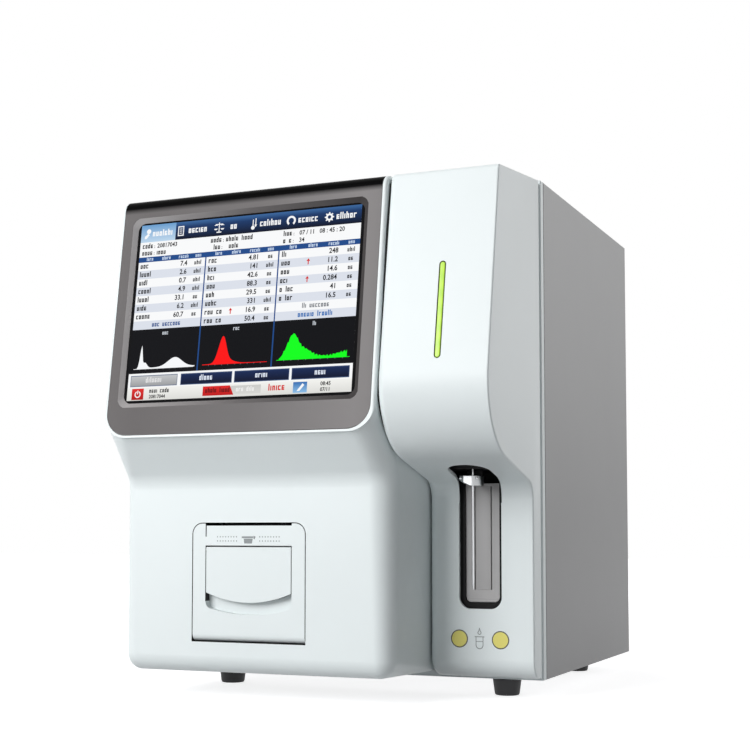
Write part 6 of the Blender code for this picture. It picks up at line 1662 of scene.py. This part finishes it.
screw_tree, sizes = tree_of("pan_screws", Radius=3 * MM, Turn=0.4)
ball = add(screw_tree, "GeometryNodeMeshUVSphere", 20, 12, sizes["Radius"])
pan = moved(screw_tree, ball, Scale=(1, 1, 0.55))
crossed = add(screw_tree, "GeometryNodeMeshBoolean", pan, operation="DIFFERENCE")
for size in mm((3.4, 0.7, 1.6), (0.7, 3.4, 1.6)):
    arm = add(screw_tree, "GeometryNodeMeshCube", size)
    feed(crossed, None, moved(screw_tree, arm, Translation=(0, 0, 1.7 * MM)))
turn = add(screw_tree, "ShaderNodeCombineXYZ", Z=sizes["Turn"])
zinc_screw = metal("zinc_screw", (0.55, 0.56, 0.56), 0.24, (1, 1, 1), 0.2, 500.0, 0.1)
spread(screw_tree, sizes, moved(screw_tree, crossed, Rotation=turn), zinc_screw, Rotation=(-math.pi / 2, 0, 0))
screw_places = [(x * MM, panel_face, z * MM) for x in (-162, -54, 54, 162) for z in (26, 433)]
screw_places += [(x * MM, panel_face, z * MM) for x in (-162, 162) for z in (128, 230, 331)]
panel_screws = grown("panel_screws", screw_tree, screw_places, Radius=3 * MM, Turn=0.5)
fitted(smooth(panel_screws, 40), "case")
fan_x = -89.25 * MM
fan_z = 344 * MM
fan_hole = 35.7 * MM
fan_screw_places = [
    (fan_x + across, panel_face + 0.3 * MM, fan_z + up)
    for across in (-fan_hole, fan_hole) for up in (-fan_hole, fan_hole)
]
fan_screws = grown("fan_screws", screw_tree, fan_screw_places, Radius=2.9 * MM, Turn=0.9)
fitted(smooth(fan_screws, 40), "case")


# Power inlet and switch
# A black moulded inlet for a plain mains lead with three plated pins, and beside it a rocker that snaps in.
# The rocker's marks are printed in white.

plated_pin = metal("plated_pin", (0.6, 0.6, 0.58), 0.2, (1, 1, 0.1), 0.1, 600.0)
inlet_body = refined("power_inlet", "mains_inlet", black_moulding, "case", 0.3 * MM)
socket_x = 112.75 * MM
socket_z = 81 * MM
pin_places = mm((-7, -2), (0, 2.5), (7, -2))


def on_pin(middle, normal):
    return 199 * MM < middle.y < 217 * MM and any(
        abs(middle.x - socket_x - across) < 1.35 * MM and abs(middle.z - socket_z - up) < 2.35 * MM
        for across, up in pin_places
    )


paint_faces(inlet_body, plated_pin, on_pin)
refined("power_switch", "rocker", acetal, "switch", 0.5 * MM, 3)
rocker_x = 87.75 * MM
rocker_z = 81 * MM
rocker_face = 217.25 * MM
rocker_slope = 0.1432
mark_white = printed("mark_white", shade(225, 225, 220))


def on_rocker(name, outline, lift):
    """A flat print that follows the slanting face of the rocker."""
    rings = []
    for proud in (lift / 2, -lift):
        rings.append([(x, rocker_face + (z - rocker_z) * rocker_slope + proud, z) for x, z in outline])
    return loft(name, rings, mark_white)


def ring_outline(radius):
    turn = [math.tau * step / 28 for step in range(28)]
    middle = rocker_z - 5.4 * MM
    return [(rocker_x + radius * math.cos(angle), middle + radius * math.sin(angle)) for angle in turn]


half = 0.45 * MM
line = box_outline(rocker_x - half, rocker_z + 3.4 * MM, rocker_x + half, rocker_z + 7.4 * MM)
fitted(on_rocker("switch_on_mark", line, 0.1 * MM), "switch")
off_mark = on_rocker("switch_off_mark", ring_outline(2.1 * MM), 0.1 * MM)
settle(cut(off_mark, on_rocker("cutter", ring_outline(1.3 * MM), 2 * MM)))
fitted(off_mark, "switch")


# Fan and guard
# A square black axial fan behind the outlet, with a rotor of swept blades, under a plated wire guard that
# its four screws hold.

fan_black = moulded("fan_black", shade(24, 24, 26), 0.4, grain=0.25, drift=0.12)
refined("fan_housing", "fan_frame", fan_black, "case", 0.3 * MM)
refined("fan_rotor", "fan_blades", fan_black, "fan", 0.3 * MM)

first_ring = 9 * MM
guard_tree, sizes = tree_of(
    "wire_guard", Rings=5, First_Ring=first_ring, Step=6.8 * MM, Wire_Radius=0.7 * MM, Reach=38 * MM
)
ring_terms = (add(guard_tree, "GeometryNodeInputIndex"), sizes["Step"], sizes["First Ring"])
ring_radius = add(guard_tree, "ShaderNodeMath", *ring_terms, operation="MULTIPLY_ADD")
centres = add(guard_tree, "GeometryNodeMeshLine", Count=sizes["Rings"], Offset=(0, 0, 0))
unit_ring = add(guard_tree, "GeometryNodeCurvePrimitiveCircle", Resolution=56, Radius=1.0)
rings = add(guard_tree, "GeometryNodeInstanceOnPoints", centres, Instance=unit_ring, Scale=ring_radius)
joined = add(guard_tree, "GeometryNodeJoinGeometry", add(guard_tree, "GeometryNodeRealizeInstances", rings))
for degrees in (225, 45, 315, 135):
    way = (math.cos(math.radians(degrees)), math.sin(math.radians(degrees)), 0)
    end = add(guard_tree, "ShaderNodeVectorMath", way, operation="SCALE", Scale=sizes["Reach"])
    start = tuple(first_ring * part for part in way)
    feed(joined, add(guard_tree, "GeometryNodeCurvePrimitiveLine", start, end))
section = add(guard_tree, "GeometryNodeCurvePrimitiveCircle", Resolution=10, Radius=sizes["Wire Radius"])
wires = add(guard_tree, "GeometryNodeCurveToMesh", Curve=joined, Profile_Curve=section, Fill_Caps=True)
spread(guard_tree, sizes, wires, plated_steel, Rotation=(math.pi / 2, 0, 0))
guard = grown("wire_fan_guard", guard_tree, [(fan_x, 215.8 * MM, fan_z)], Rings=5, Reach=38.2 * MM)
fitted(smooth(guard, 50), "case", "fan_guard")


# Fluid ports
# Four barbed hose ports of white acetal, each with a coloured collar that says which tube goes on it. Each
# is pushed through its hole and held by a nut behind.

port_white = moulded("port_white", shade(226, 226, 222), 0.35, grain=0.15, drift=0.03)
port_profile = mm(
    (0, 0), (3, 0), (3, 10), (5, 10), (5, 12.3), (7.5, 12.3), (8, 12.75), (8, 14.85), (7.5, 15.3), (3, 15.3),
    (3, 19.25), (3.8, 20.05), (3.8, 20.45), (3, 22.45), (3.6, 23.25), (3.6, 23.55), (2.6, 26.3), (1.7, 26.3),
    (1.7, 17.3), (0, 17.3),
)
collar_profile = mm((3.05, 18.2), (5.2, 18.2), (5.6, 17.9), (5.6, 15.4), (3.05, 15.4))
for name, port_x, collar_shade in (
    ("diluent", -27.25, (70, 120, 190)), ("lyse", -53.25, (90, 165, 90)),
    ("cleaner", -79.25, (220, 185, 60)), ("waste", -105.25, (190, 70, 60)),
):
    centre = (port_x * MM, 202.75 * MM, 111 * MM)
    port = turned(f"hose_port_{name}", port_profile, "Y", centre, port_white, 40)
    fitted(port, "case", f"{name}_port")
    collar_finish = moulded(f"{name}_collar", shade(*collar_shade), 0.4, grain=0.2, drift=0.05)
    collar = turned(f"port_collar_{name}", collar_profile, "Y", centre, collar_finish, 40, closed=True)
    fitted(collar, "case")


# Data sockets
# A moulded block with a printer socket and two flat sockets, whose plated steel shells line the openings.

data_block = refined("data_ports", "data_socket_block", black_moulding, "case", 0.3 * MM)
data_x = 0.75 * MM
data_z = 175 * MM
data_holes = ((-22, 12, 9), (0, 13, 6), (22, 13, 6))
hole_slack = 0.15


def in_data_hole(middle, normal):
    return middle.y < 214.4 * MM and any(
        abs(middle.x - data_x - across * MM) < (wide / 2 + hole_slack) * MM
        and abs(middle.z - data_z) < (tall / 2 + hole_slack) * MM
        for across, wide, tall in data_holes
    )


paint_faces(data_block, plated_pin, in_data_hole)
for index, (across, wide, tall) in enumerate(data_holes):
    low = (data_x + (across - wide * 0.32) * MM, 203 * MM, data_z - 0.9 * MM)
    high = (data_x + (across + wide * 0.32) * MM, 213.5 * MM, data_z + 0.9 * MM)
    tongue = bevel_solid(f"data_tongue_{index + 1}", low, high, 0.25 * MM, port_white)
    fitted(tongue, "case")


# Parts behind the covers
# What the covers hide: the display's bracket and module, boards, the bulkhead, the power supply and the
# fluid parts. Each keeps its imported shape, with its edges broken, in the finish of such a part.

board_finish = moulded("board_green", (0.015, 0.13, 0.06), 0.3, grain=0.3, grain_size=1.5 * MM, drift=0.25)
acrylic = moulded("clear_acrylic", (0.86, 0.9, 0.91), 0.14, grain=0.05, grain_size=3 * MM, drift=0.02)
feed(insides(acrylic)[1], Transmission_Weight=0.85, IOR=1.49)
brushed_plate = metal("brushed_plate", (0.46, 0.47, 0.48), 0.36, (0.03, 1, 1), 0.3, 400.0, 0.07)
for node, name, finish, slot_name, body_name in (
    ("display_bracket", "display_carrier", plated_steel, "steel", "case"),
    ("lcd_module", "display_module", brushed_plate, "steel", "case"),
    ("led_board", "diode_board", board_finish, "board_green", "case"),
    ("key_switch", "key_contact", acetal, "black_plastic", "case"),
    ("inner_bulkhead", "bulkhead_sheet", plated_steel, "steel", "case"),
    ("power_supply", "supply_box", brushed_plate, "steel", "case"),
    ("control_board", "main_board", board_finish, "board_green", "case"),
    ("syringe_block", "syringe_mount", milled_aluminium, "aluminium", "case"),
    ("syringe_motor", "syringe_drive", motor_black, "black_plastic", "case"),
    ("syringe_barrel", "glass_barrel", acrylic, "clear_plastic", "case"),
    ("syringe_plunger", "plunger_rod", ground_steel, "bright_steel", "plunger"),
    ("measuring_bath", "bath_block", acrylic, "clear_plastic", "case"),
    ("valve_block", "valve_manifold", port_white, "white_plastic", "case"),
    ("waste_pump", "drain_pump", motor_black, "black_plastic", "case"),
):
    refined(node, name, finish, body_name, 0.3 * MM)
